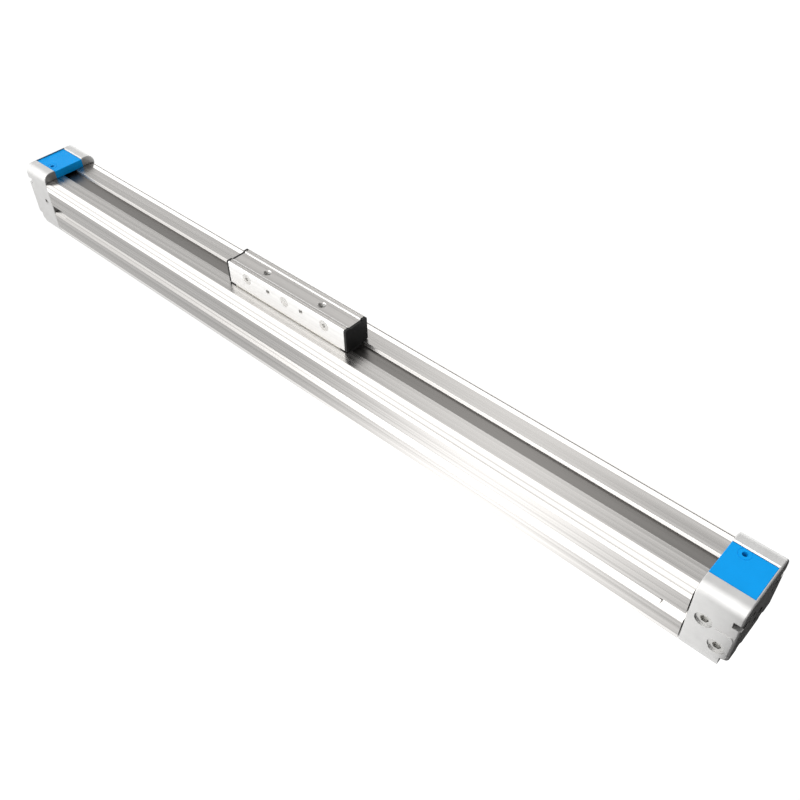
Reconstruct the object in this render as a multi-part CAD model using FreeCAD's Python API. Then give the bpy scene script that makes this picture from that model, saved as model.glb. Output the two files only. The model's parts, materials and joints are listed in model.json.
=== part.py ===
import FreeCAD, Part
import math
import os
from FreeCAD import Placement, Rotation, Vector

# Rodless pneumatic cylinder, slotted barrel with a top carriage.
# Millimetres. X runs along the barrel, Z is up, the origin is the middle of the underside.
# Near is the +X end and far is the -X end. The far end is the near end turned half round Z.

os.makedirs("parts", exist_ok=True)

# Small allowances used all over
past = 1.0
same = 1e-4

# Travel and length
stroke = 500.0
carriage_length = 122.0
end_plate_thickness = 2.0
end_reserve = 7.0
cap_length = 30.0
rest_offset = -24.0

# Body section
body_width = 52.0
barrel_height = 50.0
shoulder_land = 7.5
shoulder_drop = 0.3
shoulder_radius = 2.6
base_bevel_below_lip = 12.7
base_bevel_inset = 1.8
bore = 25.0
bore_roof = 9.0

# Band channel on the top and the slot below it
channel_width = 12.6
channel_depth = 3.6
channel_edge_radius = 0.5
slot_width = 5.6
cover_band_gap = 0.2
cover_band_thickness = 0.6
seal_band_width = 8.0
seal_band_thickness = 0.8
band_clearance = 0.05
band_side_clearance = 0.15
band_end_gap = 1.0
seal_pocket_rise = 0.9

# Sensor slots in both sides
sensor_mouth_below_bore = 6.5
sensor_mouth_height = 4.8
sensor_lip_height = 3.5
sensor_lip_inset = 1.5
sensor_neck_depth = 3.4
sensor_cavity_depth = 2.4
sensor_cavity_height = 7.8
sensor_pocket_length = 16.0
sensor_corner_radius = 0.6

# Fixing slots in the underside
base_slot_spacing = 22.0
base_slot_mouth = 5.2
base_slot_neck = 1.8
base_slot_cavity_width = 8.4
base_slot_cavity_height = 3.2
base_slot_corner_radius = 0.5

# Fine lines drawn along the shoulders
line_radius = 0.35
line_setback = 2.9

# Air channel below the bore
air_channel_diameter = 4.4
air_channel_wall = 4.8

# End caps
cap_rise = 8.0
gasket_thickness = 0.5
gasket_inset = 0.6
gasket_corner_radius = 2.0
cap_shoulder_radius = 7.5
cap_edge_radius = 1.5
cap_inner_edge_radius = 1.0
foot_setback = 5.0
foot_wall = 0.15
foot_corner_radius = 3.0
hook_depth = 5.4
hook_width = 6.5
hook_above_bore = 12.5
hook_height = 5.0
pad_height = 0.5
pad_below_port = 7.2
pad_above_port = 14.3
pad_length = 13.0
pad_end_margin = 0.2
pad_corner_radius = 2.4
band_channel_overrun = 1.5
cap_seal_slot_length = 11.0

# Blue band covers
cover_end_wall = 1.7
cover_width = 27.6
cover_wall = 2.0
cover_sink = 1.0
cover_clearance = 0.1
cover_edge_radius = 0.4
cover_pocket_bevel = 0.8
cover_ring_diameter = 8.6
cover_ring_width = 0.5
cover_ring_depth = 0.2
cover_boss_diameter = 9.0
cover_hole_setback = 18.5
cover_hole_edge = 3.8
cover_hole_floor = 1.6
cover_screw_head_diameter = 3.4
cover_screw_head_height = 1.4
cover_screw_diameter = 2.4
cover_screw_grip = 5.0
cover_screw_key = 1.5
cover_screw_key_depth = 0.9
cover_screw_clearance = 0.1

# Cap screws
cap_screw_diameter = 4.0
cap_screw_head_diameter = 7.0
cap_screw_head_height = 4.0
cap_screw_hole_clearance = 0.2
cap_screw_recess_clearance = 0.25
cap_screw_head_sink = 0.5
cap_screw_side = 13.5
cap_screw_below_bore = 15.3
cap_screw_above_bore = 13.5
cap_screw_grip = 16.0
cap_screw_key = 3.0
cap_screw_key_depth = 2.0
thread_clearance = 0.02
thread_overrun = 2.0

# Supply ports
port_diameter = 9.7
port_depth = 8.0
port_recess_margin = 0.65
port_recess_depth = 1.2
plug_length = 5.5
plug_key = 5.0
plug_key_depth = 3.0
passage_diameter = 3.6
riser_diameter = 4.0
riser_overrun = 0.4
upper_port_from_barrel = 9.6
upper_port_above_bore = 4.0
lower_port_setback = 9.0
lower_port_below_bore = 10.8
chamber_diameter = 10.0
chamber_length = 10.0

# Threads for mounting the body
end_thread_diameter = 4.2
end_thread_depth = 8.0
end_thread_edge = 5.5
end_thread_above_bore = 0.5
base_thread_depth = 9.0
base_thread_edge = 8.0
base_thread_setback = 18.0

# Cushioning
needle_from_barrel = 8.0
needle_above_bore = 0.8
needle_diameter = 4.0
needle_head_length = 5.0
needle_tip_diameter = 1.6
needle_sink = 0.8
needle_clearance = 0.1
needle_slot = 0.8
needle_slot_depth = 1.0
needle_play = 0.5
spigot_diameter = 9.0
spigot_bore = 4.0
spigot_length = 20.0
spigot_seat = 6.0
spigot_lead = 2.0
spigot_tip_inset = 0.8
buffer_edge = 2.0
buffer_thickness = 1.5

# Band clamps under the covers
clamp_length = 9.0
clamp_side_gap = 0.3
clamp_thickness = 2.0
clamp_end_gap = 1.8
clamp_screw_diameter = 3.0
clamp_screw_head_diameter = 5.2
clamp_screw_length = 7.0
clamp_screw_edge = 3.0
clamp_screw_key = 2.0
clamp_screw_key_depth = 1.2
clamp_thread_play = 0.5

# Carriage bar
carriage_width = 21.6
carriage_rise = 20.0
carriage_gap = 1.0
carriage_wall = 2.4
carriage_roof = 4.6
carriage_recess_width = 12.0
carriage_recess_depth = 1.0
carriage_groove_width = 0.8
carriage_corner_radius = 0.8
carriage_foot_radius = 0.3
carriage_cavity_radius = 0.5
carriage_recess_radius = 0.2
top_thread_spacing = 58.0
top_thread_diameter = 5.0
top_thread_sink = 0.7
side_hole_drop = 6.8
side_screw_end_distance = 20.0
side_screw_diameter = 5.0
side_screw_head_diameter = 9.0
side_screw_length = 8.0
side_screw_key = 3.0
side_screw_key_depth = 1.6
fixing_screw_end_distance = 2.5
fixing_screw_diameter = 4.0
fixing_screw_length = 6.5
fixing_screw_key = 2.0
fixing_screw_key_depth = 1.7
fixing_screw_sink = 0.5
dowel_diameter = 8.4
dowel_length = 6.0
inner_clearance = 0.2

# End plates, wipers and slide strips of the carriage
end_plate_inset = 0.1
end_plate_drop = 0.6
end_plate_low_radius = 0.8
end_plate_top_radius = 1.2
wiper_side_gap = 0.4
wiper_thickness = 1.0
wiper_gap = 0.2
wiper_rise = 3.0
strip_width = 1.8
strip_running_gap = 0.15
strip_end_distance = 5.0

# Driver between the piston and the carriage
driver_length = 40.0
driver_neck_clearance = 0.3
driver_window_side = 0.4
driver_window_clearance = 1.0
driver_base_width = 14.6
driver_base_roof_gap = 0.45
driver_neck_end_ratio = 0.9

# Band arcs over and under the driver
band_flat_margin = 1.0
cover_band_lift = 7.5
cover_band_end_distance = 3.0
seal_band_drop = 6.85
seal_band_end_distance = 1.0
seal_band_gap = 0.5
band_guide_gap = 0.4
band_guide_driver_gap = 4.0

# Piston
piston_clearance = 0.3
piston_end_gap = 2.0
piston_channel_side = 0.3
piston_stub_diameter = 12.0
piston_stub_length = 10.0
piston_stub_play = 0.5
magnet_length = 4.5
magnet_bore = 14.0
seal_width = 3.4
seal_depth = 2.4
seal_lip = 1.2
seal_magnet_wall = 5.5
seal_guide_wall = 5.6
guide_ring_width = 6.0
guide_ring_depth = 1.4
guide_ring_end_wall = 3.0
running_clearance = 0.06
cushion_bore_clearance = 0.7
cushion_bore_play = 2.0
cushion_seal_width = 2.4
cushion_seal_diameter = 14.0
cushion_seal_setback = 3.0
cross_pin_diameter = 3.0
cross_pin_sink = 0.8
base_screw_diameter = 2.5
base_screw_head_diameter = 3.0
base_screw_head_height = 1.2
base_screw_length = 7.0
base_screw_end_distance = 4.0
base_screw_side_distance = 1.6

# Places that follow from the sizes above
half_width = body_width / 2
bore_radius = bore / 2
bore_height = barrel_height - bore_roof - bore_radius
cap_height = barrel_height + cap_rise
carriage_top = barrel_height + carriage_rise
air_channel_height = (
    bore_height - bore_radius - air_channel_wall - air_channel_diameter / 2
)
sensor_mouth_low = bore_height - sensor_mouth_below_bore
sensor_lip_low = sensor_mouth_low - sensor_lip_height
base_bevel_height = sensor_lip_low - base_bevel_below_lip
carriage_total = carriage_length + 2 * end_plate_thickness
body_length = stroke + carriage_total + 2 * end_reserve + 2 * cap_length
body_end = body_length / 2
cap_inner = body_end - cap_length
barrel_end = cap_inner - gasket_thickness
channel_half = channel_width / 2
cover_band_width = channel_width - 2 * cover_band_gap
channel_floor = barrel_height - channel_depth
cover_band_base = channel_floor + band_clearance
seal_roof = bore_height + bore_radius + seal_pocket_rise
seal_band_base = seal_roof - band_clearance - seal_band_thickness
seal_half = seal_band_width / 2 + band_side_clearance
cover_floor = barrel_height
cover_length = cap_length - cover_end_wall
cover_outer = cap_inner + cover_length
cover_top = cap_height - cover_sink
cover_hole_diameter = cover_screw_head_diameter + 2 * cover_screw_clearance
cover_hole_side = cover_width / 2 - cover_hole_edge
clamp_width = cover_width - 2 * cover_wall - 2 * clamp_side_gap
clamp_setback = cover_length - cover_wall - clamp_end_gap - clamp_length
clamp_screw_side = clamp_width / 2 - clamp_screw_edge
cap_band_channel_length = clamp_setback + clamp_length + band_channel_overrun
cap_screw_hole_diameter = cap_screw_diameter + 2 * cap_screw_hole_clearance
cap_screw_recess_diameter = cap_screw_head_diameter + 2 * cap_screw_recess_clearance
cap_screw_sink = cap_screw_head_height + cap_screw_head_sink
cap_screw_low = bore_height - cap_screw_below_bore
cap_screw_high = bore_height + cap_screw_above_bore
foot_height = cap_screw_low - cap_screw_recess_diameter / 2 - foot_wall
hook_low = bore_height + hook_above_bore
port_recess_diameter = port_diameter + 2 * port_recess_margin
upper_port_height = bore_height + upper_port_above_bore
lower_port_height = bore_height - lower_port_below_bore
pad_low = lower_port_height - pad_below_port
pad_top = lower_port_height + pad_above_port
end_thread_side = half_width - end_thread_edge
end_thread_height = bore_height + end_thread_above_bore
base_thread_side = half_width - base_thread_edge
needle_height = bore_height + needle_above_bore
spigot_tip_diameter = spigot_diameter - 2 * spigot_tip_inset
buffer_diameter = bore - 2 * buffer_edge
guide_ring_setback = guide_ring_end_wall + guide_ring_width
seal_setback = guide_ring_setback + seal_guide_wall + seal_width
piston_head_length = seal_setback + seal_magnet_wall + magnet_length
piston_half = carriage_total / 2 + end_reserve - piston_end_gap
piston_body_half = piston_half - piston_head_length
piston_channel_width = seal_band_width + 2 * piston_channel_side
cushion_bore = spigot_diameter + 2 * cushion_bore_clearance
cushion_bore_depth = spigot_length + cushion_bore_play
carriage_half = carriage_length / 2
carriage_side = carriage_width / 2
carriage_low = barrel_height + carriage_gap
cavity_half = carriage_side - carriage_wall
cavity_top = carriage_top - carriage_roof
top_thread_sink_diameter = top_thread_diameter + 2 * top_thread_sink
side_hole_height = carriage_top - side_hole_drop
side_screw_place = carriage_half - side_screw_end_distance
wiper_width = channel_width - 2 * wiper_side_gap
strip_half = carriage_half - strip_end_distance
strip_height = carriage_gap - strip_running_gap
driver_half = driver_length / 2
driver_base_half = driver_base_width / 2
driver_neck_width = slot_width - 2 * driver_neck_clearance
driver_window_width = cover_band_width + 2 * driver_window_side
fixing_screw_place = driver_half - fixing_screw_end_distance
base_screw_place = driver_half - base_screw_end_distance
base_screw_side = driver_base_half - base_screw_side_distance
band_guide_inner = driver_half + band_guide_driver_gap
cover_band_reach = carriage_half - cover_band_end_distance
seal_band_reach = piston_body_half - seal_band_end_distance
seal_band_low = seal_band_base - seal_band_drop
piston_channel_floor = seal_band_low - seal_band_gap
driver_base_level = seal_band_low + seal_band_thickness + seal_band_gap
bore_roof_at_base = bore_height + math.sqrt(bore_radius ** 2 - driver_base_half ** 2)
driver_base_top = bore_roof_at_base - driver_base_roof_gap
cover_band_high = cover_band_base + cover_band_lift
driver_window_low = cover_band_high - driver_window_clearance
driver_window_top = cover_band_high + cover_band_thickness + driver_window_clearance
inner_half = cavity_half - inner_clearance
cap_screw_places = [
    (side * cap_screw_side, level)
    for side in (-1, 1)
    for level in (cap_screw_low, cap_screw_high)
]


# Basic shapes

def block(x_low, x_high, y_low, y_high, z_low, z_high):
    corner = Vector(x_low, y_low, z_low)
    return Part.makeBox(x_high - x_low, y_high - y_low, z_high - z_low, corner)


def rod(diameter, start, end):
    # Round bar between two points.
    axis = end - start
    return Part.makeCylinder(diameter / 2, axis.Length, start, axis)


def cone(start_diameter, end_diameter, start, end):
    axis = end - start
    return Part.makeCone(start_diameter / 2, end_diameter / 2, axis.Length, start, axis)


def ring(outer_diameter, inner_diameter, start, end):
    return rod(outer_diameter, start, end).cut(rod(inner_diameter, start, end))


def hex_socket(key, start, end):
    # Six-sided hole, key is the distance across flats.
    axis = end - start
    corner_radius = key / math.sqrt(3)
    turn = Rotation(Vector(0, 0, 1), axis)
    corners = []
    for step in range(7):
        angle = math.radians(60 * step)
        spoke = Vector(corner_radius * math.cos(angle), corner_radius * math.sin(angle), 0)
        corners.append(start + turn.multVec(spoke))
    return Part.Face(Part.makePolygon(corners)).extrude(axis)


def outline(corners, place):
    # Closed wire through the corners (a, b, radius), each corner rounded by its radius.
    # place turns (a, b) into a point in space.
    count = len(corners)
    starts = []
    ends = []
    middles = []
    for index in range(count):
        a, b, radius = corners[index]
        before = corners[index - 1]
        after = corners[(index + 1) % count]
        corner = Vector(a, b, 0)
        back = (Vector(before[0], before[1], 0) - corner).normalize()
        forward = (Vector(after[0], after[1], 0) - corner).normalize()
        if radius <= 0:
            starts.append(corner)
            ends.append(corner)
            middles.append(None)
            continue
        half_angle = back.getAngle(forward) / 2
        setback = radius / math.tan(half_angle)
        starts.append(corner + back * setback)
        ends.append(corner + forward * setback)
        to_centre = (back + forward).normalize()
        centre = corner + to_centre * (radius / math.sin(half_angle))
        middles.append(centre - to_centre * radius)
    edges = []
    for index in range(count):
        if middles[index] is not None:
            points = [place(p) for p in (starts[index], middles[index], ends[index])]
            edges.append(Part.Arc(*points).toShape())
        following = starts[(index + 1) % count]
        if (following - ends[index]).Length > 1e-6:
            edges.append(Part.LineSegment(place(ends[index]), place(following)).toShape())
    return Part.Wire(Part.__sortEdges__(edges))


def section_bar(corners, x_low, x_high):
    # Straight bar along X whose section has the corners (y, z, radius).
    wire = outline(corners, lambda p: Vector(x_low, p.x, p.y))
    return Part.Face(wire).extrude(Vector(x_high - x_low, 0, 0))


def plate_across(corners, y_low, y_high):
    # Straight bar along Y whose side view has the corners (x, z, radius).
    wire = outline(corners, lambda p: Vector(p.x, y_low, p.y))
    return Part.Face(wire).extrude(Vector(0, y_high - y_low, 0))


def mirrored(shape, normal):
    return shape.mirror(Vector(0, 0, 0), normal)


def both_sides(shape):
    return [shape, mirrored(shape, Vector(0, 1, 0))]


def both_ways(shape):
    return [shape, mirrored(shape, Vector(1, 0, 0))]


def turned(shape):
    # The same piece at the far end.
    copy = shape.copy()
    copy.Placement = Placement(Vector(0, 0, 0), Rotation(Vector(0, 0, 1), 180)).multiply(
        copy.Placement
    )
    return copy


def at_carriage(shape):
    # From the carriage's own middle to its place on the barrel.
    copy = shape.copy()
    copy.translate(Vector(rest_offset, 0, 0))
    return copy


def round_edges(shape, radius, wanted):
    edges = [edge for edge in shape.Edges if wanted(edge)]
    return shape.makeFillet(radius, edges)


# Barrel

def shoulder_corner():
    # Where the two lands of the shoulder would meet if the corner weren't rounded.
    return half_width - shoulder_drop, barrel_height - shoulder_drop


def barrel_outline():
    # The flat top and the side end in lands that lean towards the rounded corner.
    low = half_width - base_bevel_inset
    corner_y, corner_z = shoulder_corner()
    land_y = half_width - shoulder_land
    land_z = barrel_height - shoulder_land
    return [
        (-low, 0, 0),
        (low, 0, 0),
        (half_width, base_bevel_height, 0),
        (half_width, land_z, 0),
        (corner_y, corner_z, shoulder_radius),
        (land_y, barrel_height, 0),
        (channel_half, barrel_height, channel_edge_radius),
        (channel_half, channel_floor, 0),
        (-channel_half, channel_floor, 0),
        (-channel_half, barrel_height, channel_edge_radius),
        (-land_y, barrel_height, 0),
        (-corner_y, corner_z, shoulder_radius),
        (-half_width, land_z, 0),
        (-half_width, base_bevel_height, 0),
    ]


def sensor_slot():
    # Undercut slot in the +Y side, its lower lip bevelled so that a sensor tips in.
    mouth_top = sensor_mouth_low + sensor_mouth_height
    cavity_low = sensor_mouth_low + (sensor_mouth_height - sensor_cavity_height) / 2
    cavity_top_level = cavity_low + sensor_cavity_height
    neck = half_width - sensor_neck_depth
    floor = neck - sensor_cavity_depth
    corners = [
        (half_width + past, mouth_top, 0),
        (neck, mouth_top, 0),
        (neck, cavity_top_level, 0),
        (floor, cavity_top_level, sensor_corner_radius),
        (floor, cavity_low, sensor_corner_radius),
        (neck, cavity_low, 0),
        (neck, sensor_mouth_low, 0),
        (half_width - sensor_lip_inset, sensor_mouth_low, 0),
        (half_width, sensor_lip_low, 0),
        (half_width + past, sensor_lip_low, 0),
    ]
    slot = section_bar(corners, -barrel_end, barrel_end)
    pocket = block(
        barrel_end - sensor_pocket_length,
        barrel_end,
        floor,
        half_width + past,
        cavity_low,
        cavity_top_level,
    )
    return slot.fuse(both_ways(pocket))


def base_slot():
    # Undercut fixing slot in the underside, to the +Y side of the middle.
    middle = base_slot_spacing / 2
    mouth = base_slot_mouth / 2
    cavity = base_slot_cavity_width / 2
    top = base_slot_neck + base_slot_cavity_height
    corners = [
        (middle - mouth, -past, 0),
        (middle + mouth, -past, 0),
        (middle + mouth, base_slot_neck, 0),
        (middle + cavity, base_slot_neck, 0),
        (middle + cavity, top, base_slot_corner_radius),
        (middle - cavity, top, base_slot_corner_radius),
        (middle - cavity, base_slot_neck, 0),
        (middle - mouth, base_slot_neck, 0),
    ]
    return section_bar(corners, -barrel_end, barrel_end)


def shoulder_lines():
    # Fine drawn lines along both ends of the rounded corner.
    corner_y, corner_z = shoulder_corner()
    lines = []
    for y, z in ((corner_y - line_setback, corner_z), (corner_y, corner_z - line_setback)):
        line = rod(2 * line_radius, Vector(-barrel_end, y, z), Vector(barrel_end, y, z))
        lines.extend(both_sides(line))
    return lines


def barrel():
    body = section_bar(barrel_outline(), -barrel_end, barrel_end)
    cuts = []
    cuts.append(rod(bore, Vector(-barrel_end, 0, bore_height), Vector(barrel_end, 0, bore_height)))
    cuts.append(block(-barrel_end, barrel_end, -seal_half, seal_half, bore_height, seal_roof))
    slot_half = slot_width / 2
    slot_top = barrel_height
    cuts.append(block(-barrel_end, barrel_end, -slot_half, slot_half, bore_height, slot_top))
    cuts.append(
        rod(
            air_channel_diameter,
            Vector(-barrel_end, 0, air_channel_height),
            Vector(barrel_end, 0, air_channel_height),
        )
    )
    cuts.extend(both_sides(sensor_slot()))
    cuts.extend(both_sides(base_slot()))
    cuts.extend(shoulder_lines())
    for y, z in cap_screw_places:
        thread = rod(
            cap_screw_diameter + 2 * thread_clearance,
            Vector(barrel_end - cap_screw_grip - thread_overrun, y, z),
            Vector(barrel_end, y, z),
        )
        cuts.extend(both_ways(thread))
    return body.cut(cuts)


# Bands

def band_curve(level, rise, flat, reach, end, middle):
    # Side view of one face of a band: level, then a smooth ramp to the part over the driver.
    # A negative rise goes down. The driver stands at middle.
    low_left = Vector(middle - reach, 0, level)
    high_left = Vector(middle - flat, 0, level + rise)
    high_right = Vector(middle + flat, 0, level + rise)
    low_right = Vector(middle + reach, 0, level)
    along = Vector(1, 0, 0)
    up_ramp = Part.BSplineCurve()
    up_ramp.interpolate(
        Points=[low_left, high_left], InitialTangent=along, FinalTangent=along
    )
    down_ramp = Part.BSplineCurve()
    down_ramp.interpolate(
        Points=[high_right, low_right], InitialTangent=along, FinalTangent=along
    )
    return [
        Part.makeLine(Vector(-end, 0, level), low_left),
        up_ramp.toShape(),
        Part.makeLine(high_left, high_right),
        down_ramp.toShape(),
        Part.makeLine(low_right, Vector(end, 0, level)),
    ]


def between_curves(lower, upper, width):
    # Strip of this width between two curves that start and end at the same x.
    ends = []
    for first, second in ((lower[0], upper[0]), (lower[-1], upper[-1])):
        index = 0 if first is lower[0] else -1
        start = first.Vertexes[index].Point
        stop = second.Vertexes[index].Point
        ends.append(Part.makeLine(start, stop))
    wire = Part.Wire(Part.__sortEdges__(lower + upper + ends))
    wire.translate(Vector(0, -width / 2, 0))
    return Part.Face(wire).extrude(Vector(0, width, 0))


def band_strip(base, thickness, width, rise, reach, end):
    flat = driver_half + band_flat_margin
    lower = band_curve(base, rise, flat, reach, end, rest_offset)
    upper = band_curve(base + thickness, rise, flat, reach, end, rest_offset)
    return between_curves(lower, upper, width)


def space_over_band(level, rise, reach, width):
    # Everything above a level that follows the band, drawn about the carriage's middle.
    flat = driver_half + band_flat_margin
    end = carriage_total
    lower = band_curve(level, rise, flat, reach, end, 0)
    ceiling = 2 * carriage_top
    upper = [Part.makeLine(Vector(-end, 0, ceiling), Vector(end, 0, ceiling))]
    return between_curves(lower, upper, width)


def cover_band():
    return band_strip(
        cover_band_base,
        cover_band_thickness,
        cover_band_width,
        cover_band_lift,
        cover_band_reach,
        cap_inner + cap_band_channel_length - band_end_gap,
    )


def sealing_band():
    return band_strip(
        seal_band_base,
        seal_band_thickness,
        seal_band_width,
        -seal_band_drop,
        seal_band_reach,
        cap_inner + cap_seal_slot_length - band_end_gap,
    )


# End caps, drawn at the near end

def port_hole(face_point, inward):
    # Threaded port with a shallow recess, and the passage behind it.
    recess = rod(port_recess_diameter, face_point, face_point + inward * port_recess_depth)
    thread = rod(port_diameter, face_point, face_point + inward * port_depth)
    return [recess, thread]


def port_plug(face_point, inward):
    top = face_point + inward * port_recess_depth
    body = rod(port_diameter - 2 * thread_clearance, top, top + inward * plug_length)
    return body.cut(hex_socket(plug_key, top, top + inward * plug_key_depth))


def port_places():
    # Face point and inward direction of each port of the near cap.
    side = -half_width - pad_height
    return [
        (
            Vector(cap_inner + upper_port_from_barrel, -half_width, upper_port_height),
            Vector(0, 1, 0),
        ),
        (Vector(body_end - lower_port_setback, side, lower_port_height), Vector(0, 1, 0)),
        (Vector(body_end, 0, bore_height), Vector(-1, 0, 0)),
    ]


def plugged_ports():
    # The side ports are closed. The port in the end face stays open.
    return port_places()[:2]


def cap_passages():
    # Air ways from the ports to the bore and to the channel below it.
    upper, lower, end = [point for point, inward in port_places()]
    middle = Vector(cap_inner + spigot_seat, 0, bore_height)
    chamber_end = middle + Vector(chamber_length, 0, 0)
    low_way = Vector(lower.x, 0, air_channel_height)
    riser_top = lower.z + passage_diameter / 2 + riser_overrun
    return [
        rod(chamber_diameter, middle, chamber_end),
        rod(passage_diameter, chamber_end, end),
        rod(passage_diameter, upper, Vector(upper.x, 0, upper.z)),
        rod(passage_diameter, lower, Vector(lower.x, 0, lower.z)),
        rod(riser_diameter, low_way, Vector(lower.x, 0, riser_top)),
        rod(air_channel_diameter, Vector(cap_inner, 0, air_channel_height), low_way),
    ]


def needle_axis():
    face = Vector(cap_inner + needle_from_barrel, half_width, needle_height)
    return face, Vector(0, -1, 0)


def cap_hooks():
    # Grooves at both corners of the end face that foot brackets hook into.
    hook = block(
        body_end - hook_depth,
        body_end + past,
        half_width - hook_width,
        half_width + past,
        hook_low,
        hook_low + hook_height,
    )
    return both_sides(hook)


def side_pad():
    # Raised land round the lower port, with one rounded corner.
    x_low = body_end - pad_length
    x_high = body_end - cap_edge_radius - pad_end_margin
    corners = [
        (x_low, pad_low, 0),
        (x_high, pad_low, pad_corner_radius),
        (x_high, pad_top, pad_corner_radius),
        (x_low, pad_top, 0),
    ]
    return plate_across(corners, -half_width - pad_height, -half_width + past)


def cap_outline():
    low = half_width - base_bevel_inset
    return [
        (-low, 0, 0),
        (low, 0, 0),
        (half_width, base_bevel_height, 0),
        (half_width, cap_height, cap_shoulder_radius),
        (-half_width, cap_height, cap_shoulder_radius),
        (-half_width, base_bevel_height, 0),
    ]


def cap_block():
    body = section_bar(cap_outline(), cap_inner, body_end)
    # The foot stops short of the end face, and the corner over it is rounded.
    corner_top = foot_height + foot_corner_radius
    step = plate_across(
        [
            (body_end - foot_setback, -past, 0),
            (body_end + past, -past, 0),
            (body_end + past, corner_top, 0),
            (body_end, corner_top, 0),
            (body_end, foot_height, foot_corner_radius),
            (body_end - foot_setback, foot_height, 0),
        ],
        -half_width - past,
        half_width + past,
    )
    body = body.cut(step)

    def upper_end_edge(edge):
        box = edge.BoundBox
        on_end = box.XLength < same and abs(box.XMax - body_end) < same
        level = box.ZLength < same and abs(box.ZMax - corner_top) < same
        return on_end and box.ZMin > corner_top - same and not level

    body = round_edges(body, cap_edge_radius, upper_end_edge)

    def inner_edge(edge):
        box = edge.BoundBox
        on_inner_face = box.XLength < same and abs(box.XMin - cap_inner) < same
        return on_inner_face and box.ZMin > base_bevel_height - same

    return round_edges(body, cap_inner_edge_radius, inner_edge)


def end_cap():
    body = cap_block().fuse(side_pad())
    cuts = []
    pocket_half = cover_width / 2 + cover_clearance
    cuts.append(
        block(
            cap_inner - past,
            cover_outer + cover_clearance,
            -pocket_half,
            pocket_half,
            cover_floor,
            cap_height + past,
        )
    )
    # The pocket's long edges are bevelled.
    bevel_low = cap_height - cover_pocket_bevel
    bevel_wide = pocket_half + cover_pocket_bevel + past
    bevel = [
        (-pocket_half, bevel_low, 0),
        (pocket_half, bevel_low, 0),
        (bevel_wide, cap_height + past, 0),
        (-bevel_wide, cap_height + past, 0),
    ]
    cuts.append(section_bar(bevel, cap_inner - past, cover_outer + cover_clearance))
    channel_end = cap_inner + cap_band_channel_length
    cuts.append(
        block(
            cap_inner - past, channel_end, -channel_half, channel_half, channel_floor, cap_height
        )
    )
    cuts.append(
        block(
            cap_inner - past,
            cap_inner + cap_seal_slot_length,
            -seal_half,
            seal_half,
            seal_band_base - band_clearance,
            seal_roof,
        )
    )
    cuts.append(
        rod(
            spigot_diameter,
            Vector(cap_inner, 0, bore_height),
            Vector(cap_inner + spigot_seat, 0, bore_height),
        )
    )
    for point, inward in port_places():
        cuts.extend(port_hole(point, inward))
    cuts.extend(cap_passages())
    cuts.extend(cap_hooks())
    for y, z in cap_screw_places:
        head_seat = Vector(body_end - cap_screw_sink, y, z)
        cuts.append(rod(cap_screw_hole_diameter, Vector(cap_inner - past, y, z), head_seat))
        cuts.append(rod(cap_screw_recess_diameter, head_seat, Vector(body_end + past, y, z)))
    for side in (-1, 1):
        y = side * end_thread_side
        mouth = Vector(body_end, y, end_thread_height)
        cuts.append(rod(end_thread_diameter, mouth, mouth - Vector(end_thread_depth, 0, 0)))
        y = side * base_thread_side
        mouth = Vector(body_end - base_thread_setback, y, 0)
        cuts.append(rod(end_thread_diameter, mouth, mouth + Vector(0, 0, base_thread_depth)))
    face, inward = needle_axis()
    cuts.append(
        rod(needle_diameter + 2 * needle_clearance, face, face + inward * needle_bore_depth())
    )
    cuts.append(
        rod(
            needle_tip_diameter + 2 * needle_clearance,
            face,
            Vector(face.x, 0, needle_height),
        )
    )
    cuts.extend(clamp_threads())
    cuts.append(cover_screw_thread())
    return body.cut(cuts)


def needle_bore_depth():
    return needle_sink + needle_head_length + needle_play


def cap_gasket():
    # Flat seal between barrel and cap, clear of the slots and open round the bore and the bands.
    side = half_width - sensor_neck_depth - sensor_cavity_depth - gasket_inset
    low = base_slot_neck + base_slot_cavity_height + gasket_inset
    top = barrel_height - gasket_inset
    step = channel_floor - gasket_inset
    channel_side = channel_half + gasket_inset
    slot_side = seal_half + gasket_inset
    half_outline = [
        (side, low, gasket_corner_radius),
        (side, top, gasket_corner_radius),
        (channel_side, top, 0),
        (channel_side, step, 0),
        (slot_side, step, 0),
        (slot_side, bore_height, 0),
    ]
    other_half = [(-y, z, radius) for y, z, radius in reversed(half_outline)]
    sheet = section_bar(half_outline + other_half, barrel_end, cap_inner)

    def hole(diameter, y, z):
        return rod(diameter, Vector(barrel_end, y, z), Vector(cap_inner, y, z))

    cuts = [
        hole(bore + 2 * gasket_inset, 0, bore_height),
        hole(air_channel_diameter, 0, air_channel_height),
    ]
    cuts.extend(hole(cap_screw_hole_diameter, y, z) for y, z in cap_screw_places)
    return sheet.cut(cuts)


def cap_screws():
    # Four screws hold each cap on the barrel.
    screws = []
    for y, z in cap_screw_places:
        seat = Vector(body_end - cap_screw_sink, y, z)
        top = seat + Vector(cap_screw_head_height, 0, 0)
        tip = Vector(barrel_end - cap_screw_grip, y, z)
        screw = rod(cap_screw_diameter, tip, seat).fuse(rod(cap_screw_head_diameter, seat, top))
        key_end = top - Vector(cap_screw_key_depth, 0, 0)
        screws.append(screw.cut(hex_socket(cap_screw_key, top, key_end)))
    return screws


def port_plugs():
    return [port_plug(point, inward) for point, inward in plugged_ports()]


def cushion_screw():
    # Adjusting screw with a slotted head and a needle tip.
    face, inward = needle_axis()
    top = face + inward * needle_sink
    neck = top + inward * needle_head_length
    tip = Vector(face.x, chamber_diameter / 2, needle_height)
    body = rod(needle_diameter, top, neck).fuse(rod(needle_tip_diameter, neck, tip))
    slot = block(
        face.x - needle_slot / 2,
        face.x + needle_slot / 2,
        top.y - needle_slot_depth,
        top.y + past,
        needle_height - needle_diameter,
        needle_height + needle_diameter,
    )
    return body.cut(slot)


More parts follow.
